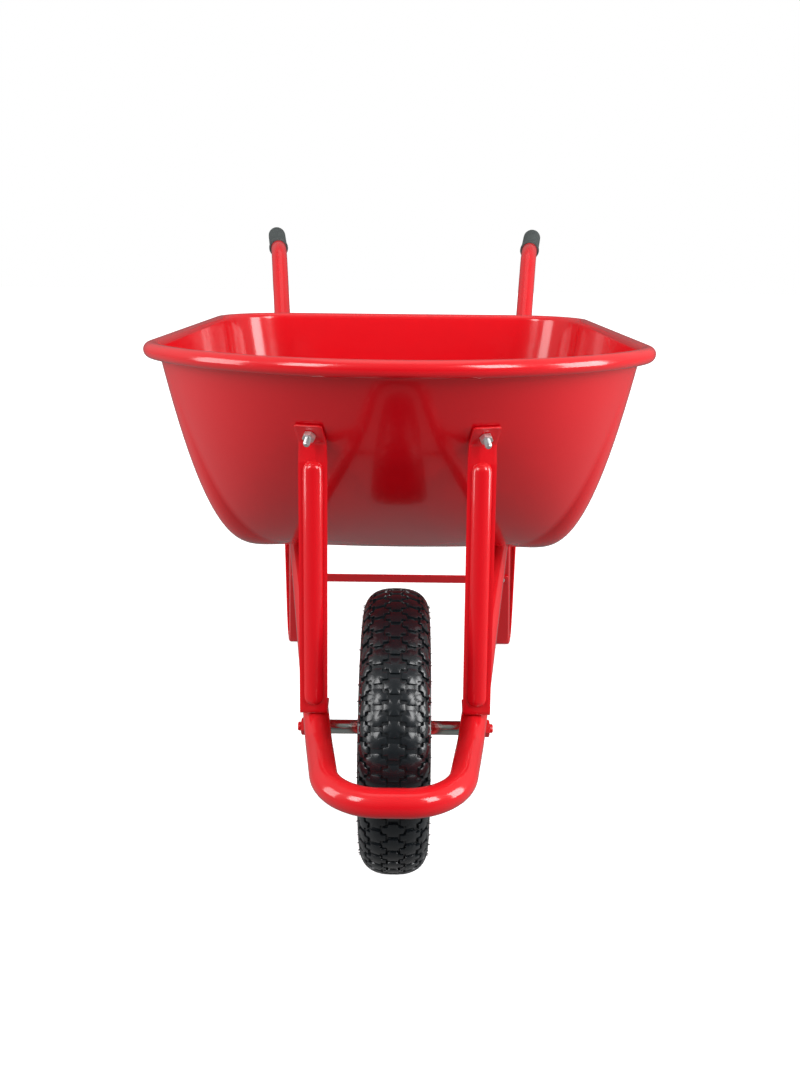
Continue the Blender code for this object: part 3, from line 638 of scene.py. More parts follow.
def make_tray():
    """The pressed tray: floor, walls and the rolled rim, as one sheet with its gauge."""
    floor, rim = half_outline(*FLOOR_OUTLINE), half_outline(*RIM_OUTLINE)
    rises = [0.0, 0.04, 0.08] + [0.08 + 0.92 * i / 30 for i in range(1, 31)]
    roll_angles = [180 - 15 * i for i in range(1, 21)]

    def fill(bm):
        columns = []
        for (floor_point, _), (rim_point, outward) in zip(floor, rim):
            column = [wall_place(floor_point, rim_point, outward, rise) for rise in rises]
            out = Vector((outward.x, outward.y, 0.0))
            middle = column[-1] + out * ROLL_RADIUS
            for angle in roll_angles:
                turn = math.radians(angle)
                column.append(middle + (out * math.cos(turn) + UP * math.sin(turn)) * ROLL_RADIUS)
            columns.append(column)
        made = stitch(bm, columns, closed_rings=False)
        bm.faces.new([column[0] for column in made])

    tray = add_piece("tray_pressed", fill, "barrow", "tray_paint", ["tray"], 50.0)
    mirror = tray.modifiers.new("other half", "MIRROR")
    mirror.merge_threshold = 0.0001
    shell = tray.modifiers.new("gauge", "SOLIDIFY")
    shell.thickness = SHEET
    shell.offset = 0.0
    return tray


def brace_seat(side):
    """Where the brace bolt meets the outer face of the tray, and that face's outward direction."""
    bpy.context.view_layer.update()
    graph = bpy.context.evaluated_depsgraph_get()
    tray = bpy.data.objects["tray_pressed"].evaluated_get(graph)
    start = Vector((side * BRACE_X, -2.0, BRACE_BOLT_Z))
    found, place, outward, _ = tray.ray_cast(start, Vector((0.0, 1.0, 0.0)))
    if not found:
        raise RuntimeError("the brace bolt misses the tray's front wall")
    return place, outward


# Pressed straps: braces and legs.


def strap(name, stations, sheet, nodes):
    """A strap pressed from sheet. A station is (centre, across, up, section)."""
    rows = [[centre + across * a + up * u for a, u in section]
            for centre, across, up, section in stations]
    piece = add_piece(name, lambda bm: stitch(bm, rows, closed_rings=False), "barrow",
                      "strut_paint", nodes, 40.0)
    shell = piece.modifiers.new("gauge", "SOLIDIFY")
    shell.thickness = sheet
    shell.offset = 0.0
    shell.use_even_offset = True
    bevel(piece, sheet * 0.22)
    return piece


def brace_path(side):
    """The brace's centre line, and which way its tab lies across the wall."""
    rise = math.atan(RAIL_SLOPE)
    off_rail = Vector((0.0, -math.sin(rise), math.cos(rise)))
    off_rail *= TUBE_RADIUS + GAP + BRACE_SHEET / 2
    x = side * BRACE_X
    corners = []
    for distance in BRACE_FOOT_BEHIND:
        on_rail = Vector((x, behind(distance), KNEE_Z + RAIL_SLOPE * (distance - KNEE_BEHIND)))
        corners.append(on_rail + off_rail)
    seat, outward = brace_seat(side)
    middle = seat + outward * (TAB_STAND_OFF + BRACE_SHEET / 2)
    up_wall = (UP - outward * outward.z).normalized()
    across = outward.cross(up_wall)
    across = across * math.copysign(1.0, across.x)
    for reach in TAB_REACH:
        corners.append(middle + up_wall * reach)
    return rounded(corners, [0.005, 0.008], [6, 6]), across


def make_brace(sizes, side_name, side):
    """A front brace: foot, ribbed upright and a tab with eased corners."""
    bends, tab_across = brace_path(side)
    low, high = bends[7], bends[8]
    rib = sizes.brace_rib
    eased = [RIB_HALF_WIDTH * (1 - math.cos(math.pi / 2 * i / 8)) for i in range(9)]
    heights = [RIB_LOW_Z + step for step in eased] + [RIB_TOP_Z - step for step in eased[::-1]]
    upright = [low.lerp(high, (z - low.z) / (high.z - low.z)) for z in heights]
    tab = bends[8:]
    end = tab[-1] + Vector()
    corner = 0.003
    last = tab.pop()
    run = (last - tab[-1]).normalized()
    for i in range(5):
        share = math.cos(math.pi / 2 * i / 4)
        tab.append(last - run * corner * share)
    path = bends[:8] + upright + tab
    stations = []
    for i, centre in enumerate(path):
        run = (path[min(i + 1, len(path) - 1)] - path[max(i - 1, 0)]).normalized()
        across = tab_across if i > len(upright) + 7 else LEVEL
        inside = max(min(centre.z - RIB_LOW_Z, RIB_TOP_Z - centre.z), 0.0)
        taper = min(inside / RIB_HALF_WIDTH, 1.0)
        wide = RIB_HALF_WIDTH * (0.30 + 0.70 * math.sqrt(1 - (1 - taper) ** 2))
        share = min(inside / rib, 1.0)
        height = rib * math.sqrt(1 - (1 - share) ** 2)
        half = sizes.brace_width / 2
        left = (end - centre).length
        if i > len(path) - 6 and left < corner:
            half -= corner - math.sqrt(max(corner ** 2 - (corner - left) ** 2, 0.0))
        section = [(-half, 0.0), (-RIB_HALF_WIDTH - 0.002, 0.0)]
        section += [(-wide * math.cos(math.pi * k / 14),
                     height * math.sin(math.pi * k / 14) ** 0.85) for k in range(15)]
        section += [(RIB_HALF_WIDTH + 0.002, 0.0), (half, 0.0)]
        stations.append((centre, across, across.cross(run), section))
    strap("brace_pressed_" + side_name, stations, BRACE_SHEET, ["brace_" + side_name])


def rear_rail_direction():
    profile = rail_profile()
    return (Vector(profile[4]) - Vector(profile[3])).normalized()


def rear_rail_at(distance):
    profile = rail_profile()
    direction = rear_rail_direction()
    return profile[3][1] + (distance - profile[3][0]) * direction.y / direction.x


def leg_path():
    """Side view of a leg: front tab, V and rear tab."""
    under = FLOOR_Z - GAP - 2 * TUBE_RADIUS - GAP - LEG_SHEET / 2
    sole = LEG_SHEET / 2
    rising = rear_rail_direction()
    down = Vector((rising.y, -rising.x))
    tab = Vector((LEG_REAR_BOLT_BEHIND, rear_rail_at(LEG_REAR_BOLT_BEHIND)))
    tab = tab + down * (TUBE_RADIUS + GAP + LEG_SHEET / 2)
    corners = [(LEG_FRONT_BOLT_BEHIND - 0.020, under), (LEG_FRONT_BOLT_BEHIND + 0.020, under),
               (LEG_SOLE_BEHIND[0], sole), (LEG_SOLE_BEHIND[1], sole), tuple(tab - rising * 0.020),
               tuple(tab + rising * 0.018)]
    flat = [Vector((y, z, 0.0)) for y, z in corners]
    return rounded(flat, [0.010, 0.012, 0.012, 0.010], [6, 8, 8, 6])


def make_leg(sizes, side_name, side):
    """A V leg bent from one strap, with flanges turned into the V along both struts."""
    half = sizes.leg_width / 2
    path = [Vector((p.x, p.y)) for p in leg_path()]
    top, foot, heel, back = path[7], path[8], path[25], path[26]
    front_strut = [top.lerp(foot, share) for share in (0.02, 0.05, 0.08, 0.30, 0.6, 0.90, 0.97)]
    rear_strut = [heel.lerp(back, share) for share in (0.03, 0.10, 0.4, 0.7, 0.92, 0.95, 0.98)]
    rises = [0.0] * 8 + [0.15, 0.7, 1.0, 1.0, 1.0, 1.0, 0.75] + [0.5] * 18
    rises += [0.75, 1.0, 1.0, 1.0, 1.0, 0.7, 0.15] + [0.0] * (len(path) - 26)
    line = path[:8] + front_strut + path[8:26] + rear_strut + path[26:]
    stations = []
    for i, place in enumerate(line):
        last = line[max(i - 1, 0)]
        following = line[min(i + 1, len(line) - 1)]
        run = (following - last).normalized()
        up = Vector((0.0, -run.y, run.x))
        centre = Vector((side * (rail_x(place.x) - LEG_INSET), behind(place.x), place.y))
        rise = sizes.leg_flange * rises[i]
        fold = half - 0.003
        section = [(-half, rise), (-half + 0.0004, rise * 0.55), (-half + 0.0014, rise * 0.18),
                   (-fold, 0.0), (0.0, 0.0), (fold, 0.0), (half - 0.0014, rise * 0.18),
                   (half - 0.0004, rise * 0.55), (half, rise)]
        stations.append((centre, LEVEL, up, section))
    strap("leg_bent_" + side_name, stations, LEG_SHEET, ["leg_" + side_name])


def crossbar_centre():
    path = leg_path()
    top = Vector((path[7].x, path[7].y))
    foot = Vector((path[8].x, path[8].y))
    run = (top - foot).normalized()
    place = foot + run * (CROSSBAR_Z - foot.y) / run.y
    forward = Vector((-run.y, run.x))
    return place + forward * (LEG_SHEET / 2 + GAP + CROSSBAR_SHEET / 2), forward


def make_crossbar():
    """A flat bar with eased corners across the front of both legs."""
    place, forward = crossbar_centre()
    half_length = rail_x(place.x) - LEG_INSET + 0.015
    along = Vector((0.0, -forward.y, forward.x))
    out = LEVEL.cross(along)
    centre = Vector((0.0, behind(place.x), place.y))
    ring = []
    for sign_x, sign_y, start in ((1, 1, 0), (-1, 1, 90), (-1, -1, 180), (1, -1, 270)):
        for k in range(5):
            turn = math.radians(start + 22.5 * k)
            ring.append(LEVEL * (sign_x * (half_length - 0.003) + math.cos(turn) * 0.003)
                        + along * (sign_y * 0.007 + math.sin(turn) * 0.003))

    def fill(bm):
        rows = [[centre + spot + out * depth for spot in ring]
                for depth in (-CROSSBAR_SHEET / 2, CROSSBAR_SHEET / 2)]
        stitch(bm, rows, capped=True)

    bar = add_piece("leg_crossbar_flat", fill, "barrow", "strut_paint", ["leg_crossbar"])
    bevel(bar, 0.0006)


# Fasteners.


def thread_profile(radius, start, end, pitch=0.00125):
    """Rings of a thread down a shank, from the start height to the end height."""
    rows = []
    height = start
    while height - pitch > end + 0.001:
        rows += [(radius - 0.0006, height), (radius, height - pitch * 0.5)]
        height -= pitch
    rows += [(radius - 0.0006, height), (radius - 0.0006, end + 0.0008),
             (radius - 0.0012, end), (0.0, end)]
    return rows


def make_bolt(name, seat, axis, length, plain, node):
    """A round-headed bolt, plain under its head and threaded at its end."""
    head = [(0.0, 0.0046), (0.0030, 0.0044), (0.0055, 0.0036), (0.0074, 0.0023),
            (0.0086, 0.0009), (0.0090, 0.0003), (0.0088, 0.0), (0.004, 0.0)]
    profile = head + [(0.004, -plain)] + thread_profile(0.004, -plain - 0.0004, -length)
    add_turned(name, profile, facing(seat, axis), 28, "barrow", "zinc", node)


def nut_rows(radius, height, bore):
    """Rings of a chamfered hexagon nut, from its bore over both faces."""
    flat = radius * math.cos(math.pi / 6)
    half = height / 2
    ease = (radius - flat) * 0.55

    def ring(height_at, most):
        row = []
        for step in range(48):
            turn = 2 * math.pi * step / 48
            inside = (turn % (math.pi / 3)) - math.pi / 6
            row.append(polar(min(flat / math.cos(inside), most), turn, height_at))
        return row

    levels = [(half - 0.0004, bore), (half, bore + 0.0005), (half, flat * 0.97)]
    levels += [(half - ease * share, flat * 0.97 + (radius - flat * 0.97) * share)
               for share in (0.35, 0.7, 1.0)]
    levels += [(-height_at, most) for height_at, most in reversed(levels)]
    return [ring(height_at, most) for height_at, most in levels]


def make_nut(name, middle, axis, node, bore=0.0036, radius=0.0075, height=NUT_HEIGHT,
             slot="zinc"):
    place = facing(middle, axis)

    def fill(bm):
        rows = [[place @ spot for spot in row] for row in nut_rows(radius, height, bore)]
        stitch(bm, rows, closed_rows=True)

    return add_piece(name, fill, "barrow", slot, [node], 28.0)


def bolt_set(name, side_name, seat, axis, grip, end):
    """A bolt and its nut. The grip is the stack between them."""
    seat = Vector(seat)
    axis = Vector(axis).normalized()
    length = grip + 2 * GAP + NUT_HEIGHT + end
    make_bolt(f"{name}_bolt_threaded_{side_name}", seat + axis * GAP, axis, length,
              max(grip - 0.003, 0.0004), f"{name}_bolt_{side_name}")
    middle = seat - axis * (grip + GAP + NUT_HEIGHT / 2)
    make_nut(f"{name}_nut_hex_{side_name}", middle, axis, f"{name}_nut_{side_name}")


def make_fasteners():
    for side_name, side in SIDES:
        face, outward = brace_seat(side)
        seat = face - outward * (SHEET + GAP)
        bolt_set("brace", side_name, seat, -outward,
                 SHEET + 2 * GAP + TAB_STAND_OFF + BRACE_SHEET, 0.009)
        top = FLOOR_Z + SHEET
        through = SHEET + GAP + 2 * TUBE_RADIUS
        bolt_set("floor", side_name, (side * rail_x(FLOOR_BOLT_BEHIND), behind(FLOOR_BOLT_BEHIND),
                                      top), UP, through, 0.004)
        seat = (side * rail_x(LEG_FRONT_BOLT_BEHIND), behind(LEG_FRONT_BOLT_BEHIND), top)
        bolt_set("leg_front", side_name, seat, UP, through + GAP + LEG_SHEET, 0.004)
        rising = rear_rail_direction()
        up = Vector((0.0, -rising.y, rising.x))
        centre = rail_point(LEG_REAR_BOLT_BEHIND, rear_rail_at(LEG_REAR_BOLT_BEHIND), side)
        bolt_set("leg_rear", side_name, centre + up * (TUBE_RADIUS + GAP), up,
                 2 * TUBE_RADIUS + 2 * GAP + LEG_SHEET, 0.004)
        place, forward = crossbar_centre()
        face = place + forward * (CROSSBAR_SHEET / 2)
        seat = (side * (rail_x(place.x) - LEG_INSET), behind(face.x), face.y)
        bolt_set("crossbar", side_name, seat, (0.0, forward.x, forward.y),
                 CROSSBAR_SHEET + GAP + LEG_SHEET, 0.004)


# Axle and wheel.


def along_axle(x):
    return facing((x, AXLE.y, AXLE.z), (1, 0, 0))


def ring_profile(inner, outer, half_length, edge):
    return [(outer - edge, half_length), (outer - edge * 0.3, half_length - edge * 0.3),
            (outer, half_length - edge), (outer, edge - half_length),
            (outer - edge * 0.3, edge * 0.3 - half_length), (outer - edge, -half_length),
            (inner + edge * 0.5, -half_length), (inner, edge * 0.5 - half_length),
            (inner, half_length - edge * 0.5), (inner + edge * 0.5, half_length)]


def make_axle():
    """The axle, its sleeves, washers and nuts, and the plates that carry it."""
    thread = thread_profile(0.006, 0.0, -AXLE_THREAD, 0.0015)
    half = [(radius, -AXLE_THREAD - height + AXLE_END) for radius, height in reversed(thread)]
    profile = half + [(radius, -height) for radius, height in reversed(half)]
    add_turned("axle_threaded", profile, along_axle(0.0), 28, "barrow", "axle_paint", "axle")
    first = HUB_HALF_LENGTH + GAP
    last = BRACKET_X - GAP
    outer = BRACKET_X + BRACKET_THICKNESS + GAP
    for side_name, side in SIDES:
        sleeve = ring_profile(0.0063, 0.009, (last - first) / 2, 0.0005)
        add_turned("axle_sleeve_" + side_name, sleeve, along_axle(side * (first + last) / 2), 48,
                   "barrow", "spacer_zinc", "axle_spacer_" + side_name)
        washer = ring_profile(0.0063, 0.012, 0.001, 0.0003)
        add_turned("axle_washer_round_" + side_name, washer,
                   along_axle(side * (outer + 0.001)), 40, "barrow", "zinc",
                   "axle_washer_" + side_name)
        make_nut("axle_nut_hex_" + side_name, (side * (outer + 0.002 + GAP + 0.004), AXLE.y,
                                               AXLE.z), (1, 0, 0), "axle_nut_" + side_name,
                 0.0056, 0.011, 0.008, "axle_paint")
        recolour("axle_bracket_" + side_name, "strut_paint")


def tyre_section(turn, half_width=TYRE_HALF_WIDTH, half_height=TYRE_HALF_HEIGHT):
    """A point of a rounded-square section inside the casing, as (radius, across)."""
    cosine = math.cos(turn)
    sine = math.sin(turn)
    across = half_width * math.copysign(abs(cosine) ** (2 / TYRE_SQUARENESS), cosine)
    out = half_height * math.copysign(abs(sine) ** (2 / TYRE_SQUARENESS), sine)
    return WHEEL_RADIUS - TYRE_HALF_HEIGHT + out, across


def round_axle(radius, across, turn):
    return Vector((across, AXLE.y + math.sin(turn) * radius, AXLE.z + math.cos(turn) * radius))


class TyreSkin:
    """The tyre's outer section measured by its length from the crown, for laying the tread."""

    def __init__(self):
        self.turns = [math.pi / 2 - 2.4 * i / 900 for i in range(901)]
        self.lengths = [0.0]
        last = Vector(tyre_section(self.turns[0]))
        for turn in self.turns[1:]:
            here = Vector(tyre_section(turn))
            self.lengths.append(self.lengths[-1] + (here - last).length)
            last = here

    def turn_at(self, length):
        reach = abs(length)
        high = bisect.bisect_left(self.lengths, reach, 1, len(self.lengths) - 1)
        low = high - 1
        span = self.lengths[high] - self.lengths[low]
        share = (reach - self.lengths[low]) / span if span else 0.0
        turn = self.turns[low] + (self.turns[high] - self.turns[low]) * min(share, 1.0)
        return turn if length >= 0 else math.pi - turn

    def place(self, around, length, inset):
        """A place on the skin: around in radians, length across from the crown."""
        radius, across = tyre_section(self.turn_at(length), TYRE_HALF_WIDTH - inset,
                                      TYRE_HALF_HEIGHT - inset)
        return round_axle(radius, across, around)


TREAD_EDGE = 0.0500
BLOCK_COLUMNS = ((0.0, 0.0, 1.0), (0.0205, 0.5, 1.0), (0.0400, 0.0, 0.80))


def block_outline(stretch):
    """A block shaped as a fat cross, so that staggered blocks interlock, as (around, across)."""
    quarter = [(0.0094, 0.0042), (0.0088, 0.0058), (0.0055, 0.0060), (0.0045, 0.0072),
               (0.0043, 0.0112), (0.0033, 0.0123)]
    spots = quarter + [(-around, across) for around, across in reversed(quarter)]
    spots += [(-around, -across) for around, across in quarter]
    spots += [(around, -across) for around, across in reversed(quarter)]
    return [(around, across * stretch) for around, across in spots]


def tread_blocks(bm, skin, rows, depth):
    pitch = 2 * math.pi / rows
    for side in (1, -1):
        for place, stagger, stretch in BLOCK_COLUMNS:
            if side < 0 and place == 0.0:
                continue
            outline = block_outline(stretch)
            for row in range(rows):
                middle = pitch * (row + stagger)
                rings = []
                for swell, inset in ((1.04, depth + 0.0004), (1.0, depth * 0.35),
                                     (0.975, depth * 0.08), (0.90, 0.0)):
                    ring = []
                    for around, across in outline:
                        turn = middle + around * swell / WHEEL_RADIUS
                        ring.append(skin.place(turn, side * place + across * swell, inset))
                    rings.append(ring)
                made = stitch(bm, rings)
                centre = bm.verts.new(skin.place(middle, side * place, 0.0))
                top = made[-1]
                for i, vert in enumerate(top):
                    bm.faces.new((vert, top[(i + 1) % len(top)], centre))
                bm.faces.new(made[0])


def tread_lugs(bm, skin, rows, depth):
    """Short shoulder lugs, and the moulding hairs that stand out of them."""
    pitch = 2 * math.pi / rows
    dice = random.Random(4)
    for side in (1, -1):
        for row in range(rows):
            middle = pitch * (row + 0.5)
            rings = []
            for swell, inset in ((1.08, depth + 0.0004), (1.0, depth * 0.2), (0.9, 0.0)):
                ring = []
                for around, across in ((-5.2, -1.6), (-3.6, -2.7), (3.6, -2.7), (5.2, -1.6),
                                       (5.9, 3.4), (-5.9, 3.4)):
                    turn = middle + around * swell / 1000 / WHEEL_RADIUS
                    length = side * (0.0486 + across * swell / 1000)
                    ring.append(skin.place(turn, length, inset))
                rings.append(ring)
            stitch(bm, rings, capped=True)
            for _ in range(2):
                root = skin.place(middle + dice.uniform(-0.03, 0.03), side * 0.0508, 0.0004)
                tip_way = Vector((side * 0.9, dice.uniform(-0.3, 0.3), 0.0)).normalized()
                out = root - AXLE
                out.x = 0.0
                tip_way = (tip_way + out.normalized() * dice.uniform(0.1, 0.5)).normalized()
                tall = dice.uniform(0.0016, 0.0034)
                hair = [(0.0, 0.0), (0.00045, 0.0), (0.00040, tall * 0.6), (0.00025, tall),
                        (0.0, tall)]
                lathe(bm, hair, facing(root, tip_way), 6)


def make_tyre(sizes):
    """The casing with its grooves' floor, side rings and beads, and the tread laid on it."""
    skin = TyreSkin()
    depth = sizes.tread_depth
    lengths = [skin.lengths[-1] * i / 44 for i in range(-44, 45)]

    def floor_inset(length):
        edge = (abs(length) - TREAD_EDGE) / 0.0035
        share = min(max(edge, 0.0), 1.0)
        inset = depth * (1 - share * share * (3 - 2 * share))
        for ring in (0.0585, 0.0615, 0.0800):
            away = (abs(length) - ring) / 0.0009
            inset -= 0.0007 * math.exp(-away * away)
        return max(inset, 0.0)

    extra = [side * value for side in (1, -1) for value in
             (0.0575, 0.0580, 0.0585, 0.0590, 0.0595, 0.0605, 0.0610, 0.0615, 0.0620, 0.0625,
              0.0790, 0.0795, 0.0800, 0.0805, 0.0810)]
    bead = 0.0925
    lengths = sorted(set(round(value, 5) for value in lengths + extra if abs(value) <= bead))

    def fill(bm):
        steps = 208
        rings = []
        for length in lengths:
            inset = floor_inset(length)
            rings.append([skin.place(2 * math.pi * k / steps, length, inset)
                          for k in range(steps)])
        inner = []
        for k in range(13):
            turn = math.radians(-52) + (math.pi + math.radians(104)) * k / 12
            radius, across = tyre_section(turn, 0.037, 0.030)
            inner.append([round_axle(radius, across, 2 * math.pi * k / steps)
                          for k in range(steps)])
        stitch(bm, rings + inner, closed_rows=True)
        tread_blocks(bm, skin, sizes.tread_rows, depth)
        tread_lugs(bm, skin, sizes.tread_rows, depth)

    add_piece("tyre_treaded", fill, "wheel", "tyre", ["tyre"], 38.0)


def make_wheel():
    """Both pressed halves of the rim, the hub, its bearings, the tube and the valve."""
    for side_name, side in SIDES:
        line = [(0.0198, 0.0015), (0.030, 0.0015), (0.060, 0.0030), (0.086, 0.0020),
                (0.0925, 0.0045), (0.0995, 0.0150), (0.1015, 0.0295), (0.1075, 0.0315),
                (0.1115, 0.0350)]
        soft = soft_profile(line, 0.006)
        skin = []
        for i, (radius, height) in enumerate(soft):
            before = Vector(soft[max(i - 1, 0)])
            after = Vector(soft[min(i + 1, len(soft) - 1)])
            run = (after - before).normalized()
            skin.append((Vector((radius, height)), Vector((-run.y, run.x)) * 0.0009))
        ring = [place + off for place, off in skin] + [place - off for place, off in skin[::-1]]
        profile = [(spot.x, side * spot.y) for spot in ring]
        add_turned("rim_pressed_" + side_name, profile, along_axle(0.0), 96, "wheel",
                   "rim_paint", "wheel_rim_" + side_name)
        face = [(0.0160, 0.0045), (0.0155, 0.0050), (0.0138, 0.0050), (0.0134, 0.0044),
                (0.0098, 0.0044), (0.0094, 0.0050), (0.0068, 0.0050), (0.0063, 0.0045)]
        race = face + [(radius, -height) for radius, height in reversed(face)]
        add_turned("bearing_ring_" + side_name, race, along_axle(side * 0.034), 48, "wheel",
                   "bearing_steel", "bearing_" + side_name)
    sleeve = ring_profile(0.0163, 0.0195, HUB_HALF_LENGTH, 0.0006)
    add_turned("hub_sleeve", sleeve, along_axle(0.0), 64, "wheel", "rim_paint", "hub")
    recolour("inner_tube", "tube_rubber")
    root = Vector((VALVE_X, AXLE.y, AXLE.z + 0.1205))
    stem = [(0.0, 0.001), (0.0042, 0.001)]
    for k in range(8):
        top = -0.003 * k
        stem += [(0.0042, top), (0.0039, top - 0.0008), (0.0042, top - 0.0016)]
    stem += [(0.0042, -0.0255), (0.0034, -0.0275), (0.0032, -0.030), (0.0032, -0.040),
             (0.0, -0.040)]
    add_turned("valve_stem_ringed", stem, facing(root, UP), 28, "wheel", "tube_rubber",
               "valve_stem")

    def fill_cap(bm):
        place = facing(root, UP)
        rows = []
        for reach, height in ((0.0020, -0.0405), (0.0038, -0.0405), (0.0038, -0.0500),
                              (0.0030, -0.0516), (0.0014, -0.0520)):
            row = []
            for k in range(48):
                turn = 2 * math.pi * k / 48
                flute = 0.0001 if k % 4 < 2 and reach > 0.0036 else 0.0
                row.append(place @ polar(reach - flute, turn, height))
            rows.append(row)
        stitch(bm, rows, capped=True)

    add_piece("valve_cap_fluted", fill_cap, "wheel", "cap_plastic", ["valve_cap"])


# Grips.


def make_grip(side_name, side):
    """A sleeve grip: collar, fluted barrel and a domed closed end."""
    profile = rail_profile()
    end = rail_point(*profile[-1], side)
    before = rail_point(*profile[-2], side)
    place = facing(end, (end - before).normalized())
    barrel = 0.0184
    section = [(0.0, 0.0030), (0.0060, 0.0030), (0.0120, 0.0027), (0.0160, 0.0018),
               (0.0176, 0.0006), (barrel, -0.0012), (barrel, -0.0040)]
    for k in range(12):
        low = -0.0065 - k * 0.0072
        section += [(barrel, low), (barrel - 0.0007, low - 0.0008),
                    (barrel - 0.0007, low - 0.0020), (barrel, low - 0.0028),
                    (barrel + 0.0001, low - 0.0050)]
    section += [(barrel, -0.1030), (0.0192, -0.1042), (0.0200, -0.1052), (0.0200, -0.1088),
                (0.0196, -0.1097), (0.0190, -0.1100), (0.0163, -0.1100), (0.0163, 0.0003),
                (0.0, 0.0003)]
    add_turned("grip_sleeve_" + side_name, section, place, 48, "barrow", "grip_rubber",
               "grip_" + side_name)


# Stage.


# Name, place, size and share of the key power.
SOFTBOXES = (
    ("front_left_softbox", (-1.55, -2.2, 2.0), (0.75, 1.5), 0.36),
    ("front_right_softbox", (1.55, -2.1, 2.0), (0.75, 1.5), 0.42),
    ("overhead_softbox", (0.0, 0.1, 2.9), (1.6, 2.2), 0.07),
    ("left_softbox", (-2.1, -0.9, 0.9), (0.9, 1.5), 0.24),
    ("right_softbox", (2.1, -0.8, 0.9), (0.9, 1.5), 0.40),
)


def soft_light(name, place, size, power):
    """A soft light aimed at the middle of the barrow."""
    light = bpy.data.lights.new(name, "AREA")
    light.shape = "RECTANGLE"
    light.size, light.size_y = size
    light.energy = power
    lamp = bpy.data.objects.new(name, light)
    bpy.context.scene.collection.objects.link(lamp)
    turn = (Vector((0.0, -0.1, 0.4)) - Vector(place)).to_track_quat("-Z", "Y")
    lamp.matrix_world = Matrix.Translation(place) @ turn.to_matrix().to_4x4()


def make_floor():
    finish = Finish("studio_floor")
    cloud = finish.noise(3.0, 3.0)
    base = finish.mix(cloud, (0.90, 0.90, 0.90), (0.93, 0.93, 0.93))
    # Painted light: the floor glows by its own light, at 0.62 near the middle rising to 0.98 from
    # 0.9 to 3.1 metres out, which lifts the shadows on it and hides its far edge.
    away = (finish.part("X") ** 2.0 + finish.part("Y") ** 2.0) ** 0.5
    painted_glow = finish.mix(away.above(0.9, 2.2), (0.62, 0.62, 0.62), (0.98, 0.98, 0.98))
    material = finish.surface(Base_Color=base, Roughness=0.6 + cloud * 0.1,
                              Normal=finish.bump(finish.noise(120.0), 0.0002, 0.1),
                              Emission_Color=painted_glow, Emission_Strength=1.0)
    mesh = bpy.data.meshes.new("studio_floor")
    reach = 14.0
    corners = [(x * reach, y * reach, -0.0005) for x, y in ((-1, -1), (1, -1), (1, 1), (-1, 1))]
    mesh.from_pydata(corners, [], [(0, 1, 2, 3)])
    mesh.materials.append(material)
    floor = bpy.data.objects.new("studio_floor", mesh)
    bpy.context.scene.collection.objects.link(floor)
    floor.visible_diffuse = False
    floor.visible_glossy = False


def make_surroundings(strength):
    """White surroundings, bright above, softer at the sides and dim low down."""
    world = bpy.data.worlds.new("studio_white")
    world.use_nodes = True
    maker = NodeMaker(world.node_tree)
    toward = maker.add("ShaderNodeTexCoord", output="Generated")
    across, along, up = (maker.add("ShaderNodeSeparateXYZ", None, {0: toward}, output=axis)
                         for axis in "XYZ")
    front = (0.0 - along).clamped()
    low = (0.0 - up * 2.0).clamped()
    light = ((up * 1.5 + 0.12).clamped() * (1 - front * 0.6) * 0.34 + across * across * 0.34
             + low * 0.15 + 0.055)
    bounce = maker.add("ShaderNodeLightPath", output="Is Diffuse Ray")
    light = light + low * bounce * 0.06
    direct = maker.add("ShaderNodeLightPath", output="Is Camera Ray")
    light = light * strength * (1 - direct) + direct
    sky = world.node_tree.nodes["Background"]
    sky.inputs["Color"].default_value = (1.0, 1.0, 1.0, 1.0)
    maker.plug(sky.inputs["Strength"], light)
    return world


def make_stage(studio):
    scene = bpy.context.scene
    make_floor()
    camera = bpy.data.cameras.new("camera")
    camera.sensor_width = 36.0
    camera.lens = studio.lens
    camera.clip_start = 0.01
    eye = bpy.data.objects.new("camera", camera)
    scene.collection.objects.link(eye)
    tilt, roll, heading = studio.camera_turn
    eye.matrix_world = (Matrix.Translation(studio.camera_place) @ Matrix.Rotation(heading, 4, "Z")
                        @ Matrix.Rotation(tilt, 4, "X") @ Matrix.Rotation(roll, 4, "Z"))
    scene.camera = eye
    scene.world = make_surroundings(studio.sky_strength)
    scene.view_settings.view_transform = "Standard"
    for name, place, size, share in SOFTBOXES:
        soft_light(name, place, size, studio.key_power * share)


# Operators, panel and registration.


def make_both(make):
    """Runs a maker for the left side and the right side."""
    for side_name, side in SIDES:
        make(side_name, side)


def make_braces(sizes):
    make_both(lambda side_name, side: make_brace(sizes, side_name, side))


def make_legs(sizes):
    make_both(lambda side_name, side: make_leg(sizes, side_name, side))
    make_crossbar()


def piece_operator(key, label, description, build):
    """An operator that builds one group of pieces from the scene's settings."""

    def execute(self, context):
        build(context.scene)
        return {"FINISHED"}

    return type("BARROW_OT_" + key, (bpy.types.Operator,), {
        "__doc__": description, "bl_idname": "barrow." + key, "bl_label": label,
        "bl_options": {"REGISTER", "UNDO"}, "execute": execute})


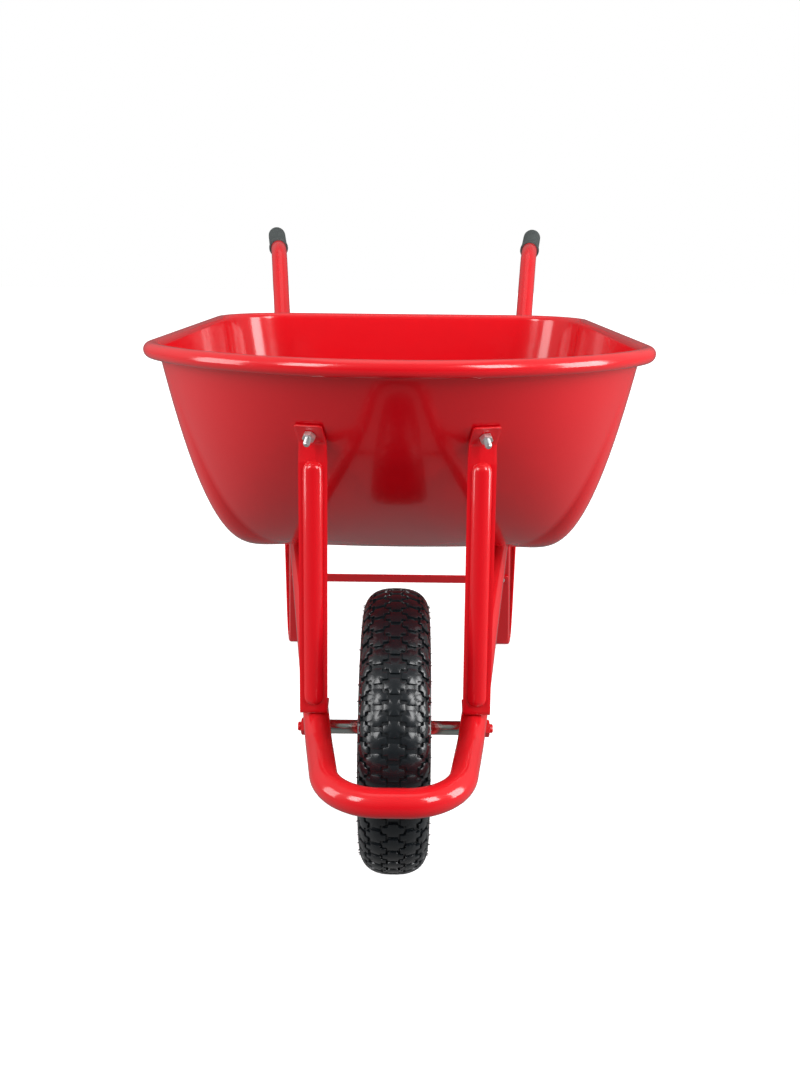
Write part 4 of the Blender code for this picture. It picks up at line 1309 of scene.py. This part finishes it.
PIECE_OPERATORS = (
    piece_operator("frame_tube", "Frame Tube", "Bend the frame tube",
                   lambda scene: make_frame_tube(scene.barrow_sizes)),
    piece_operator("tray", "Tray", "Press the tray and roll its rim", lambda scene: make_tray()),
    piece_operator("braces", "Front Braces", "Press the two front braces",
                   lambda scene: make_braces(scene.barrow_sizes)),
    piece_operator("legs", "Legs", "Bend the two legs and lay the crossbar across them",
                   lambda scene: make_legs(scene.barrow_sizes)),
    piece_operator("fasteners", "Bolts and Nuts", "Fit the bolts and nuts",
                   lambda scene: make_fasteners()),
    piece_operator("axle", "Axle", "Fit the axle, its sleeves, washers and nuts",
                   lambda scene: make_axle()),
    piece_operator("tyre", "Tyre", "Mould the tyre and its tread",
                   lambda scene: make_tyre(scene.barrow_sizes)),
    piece_operator("wheel", "Rim and Hub", "Press the rim and fit the hub, bearings and valve",
                   lambda scene: make_wheel()),
    piece_operator("grips", "Grips", "Push the grips onto the handles",
                   lambda scene: make_both(make_grip)),
    piece_operator("stage", "Stage", "Set the floor, camera and lights",
                   lambda scene: make_stage(scene.barrow_studio)),
)


class BARROW_PT_panel(bpy.types.Panel):
    """Lists the sizes, the finishes and a button for each piece"""

    bl_idname = "BARROW_PT_panel"
    bl_label = "Garden Wheelbarrow"
    bl_space_type = "VIEW_3D"
    bl_region_type = "UI"
    bl_category = "Barrow"

    def draw(self, context):
        for group in (context.scene.barrow_sizes, context.scene.barrow_finishes,
                      context.scene.barrow_studio):
            box = self.layout.box()
            for name in group.__annotations__:
                box.prop(group, name)
        column = self.layout.column(align=True)
        for operator in PIECE_OPERATORS:
            column.operator(operator.bl_idname)


CLASSES = (BarrowSizes, BarrowFinishes, BarrowStudio) + PIECE_OPERATORS + (BARROW_PT_panel,)


def register():
    for cls in CLASSES:
        bpy.utils.register_class(cls)
    bpy.types.Scene.barrow_sizes = bpy.props.PointerProperty(type=BarrowSizes)
    bpy.types.Scene.barrow_finishes = bpy.props.PointerProperty(type=BarrowFinishes)
    bpy.types.Scene.barrow_studio = bpy.props.PointerProperty(type=BarrowStudio)


def unregister():
    del bpy.types.Scene.barrow_studio
    del bpy.types.Scene.barrow_finishes
    del bpy.types.Scene.barrow_sizes
    for cls in reversed(CLASSES):
        bpy.utils.unregister_class(cls)


def main():
    register()
    for operator in PIECE_OPERATORS:
        group, name = operator.bl_idname.split(".")
        getattr(getattr(bpy.ops, group), name)()


if __name__ == "__main__":
    main()
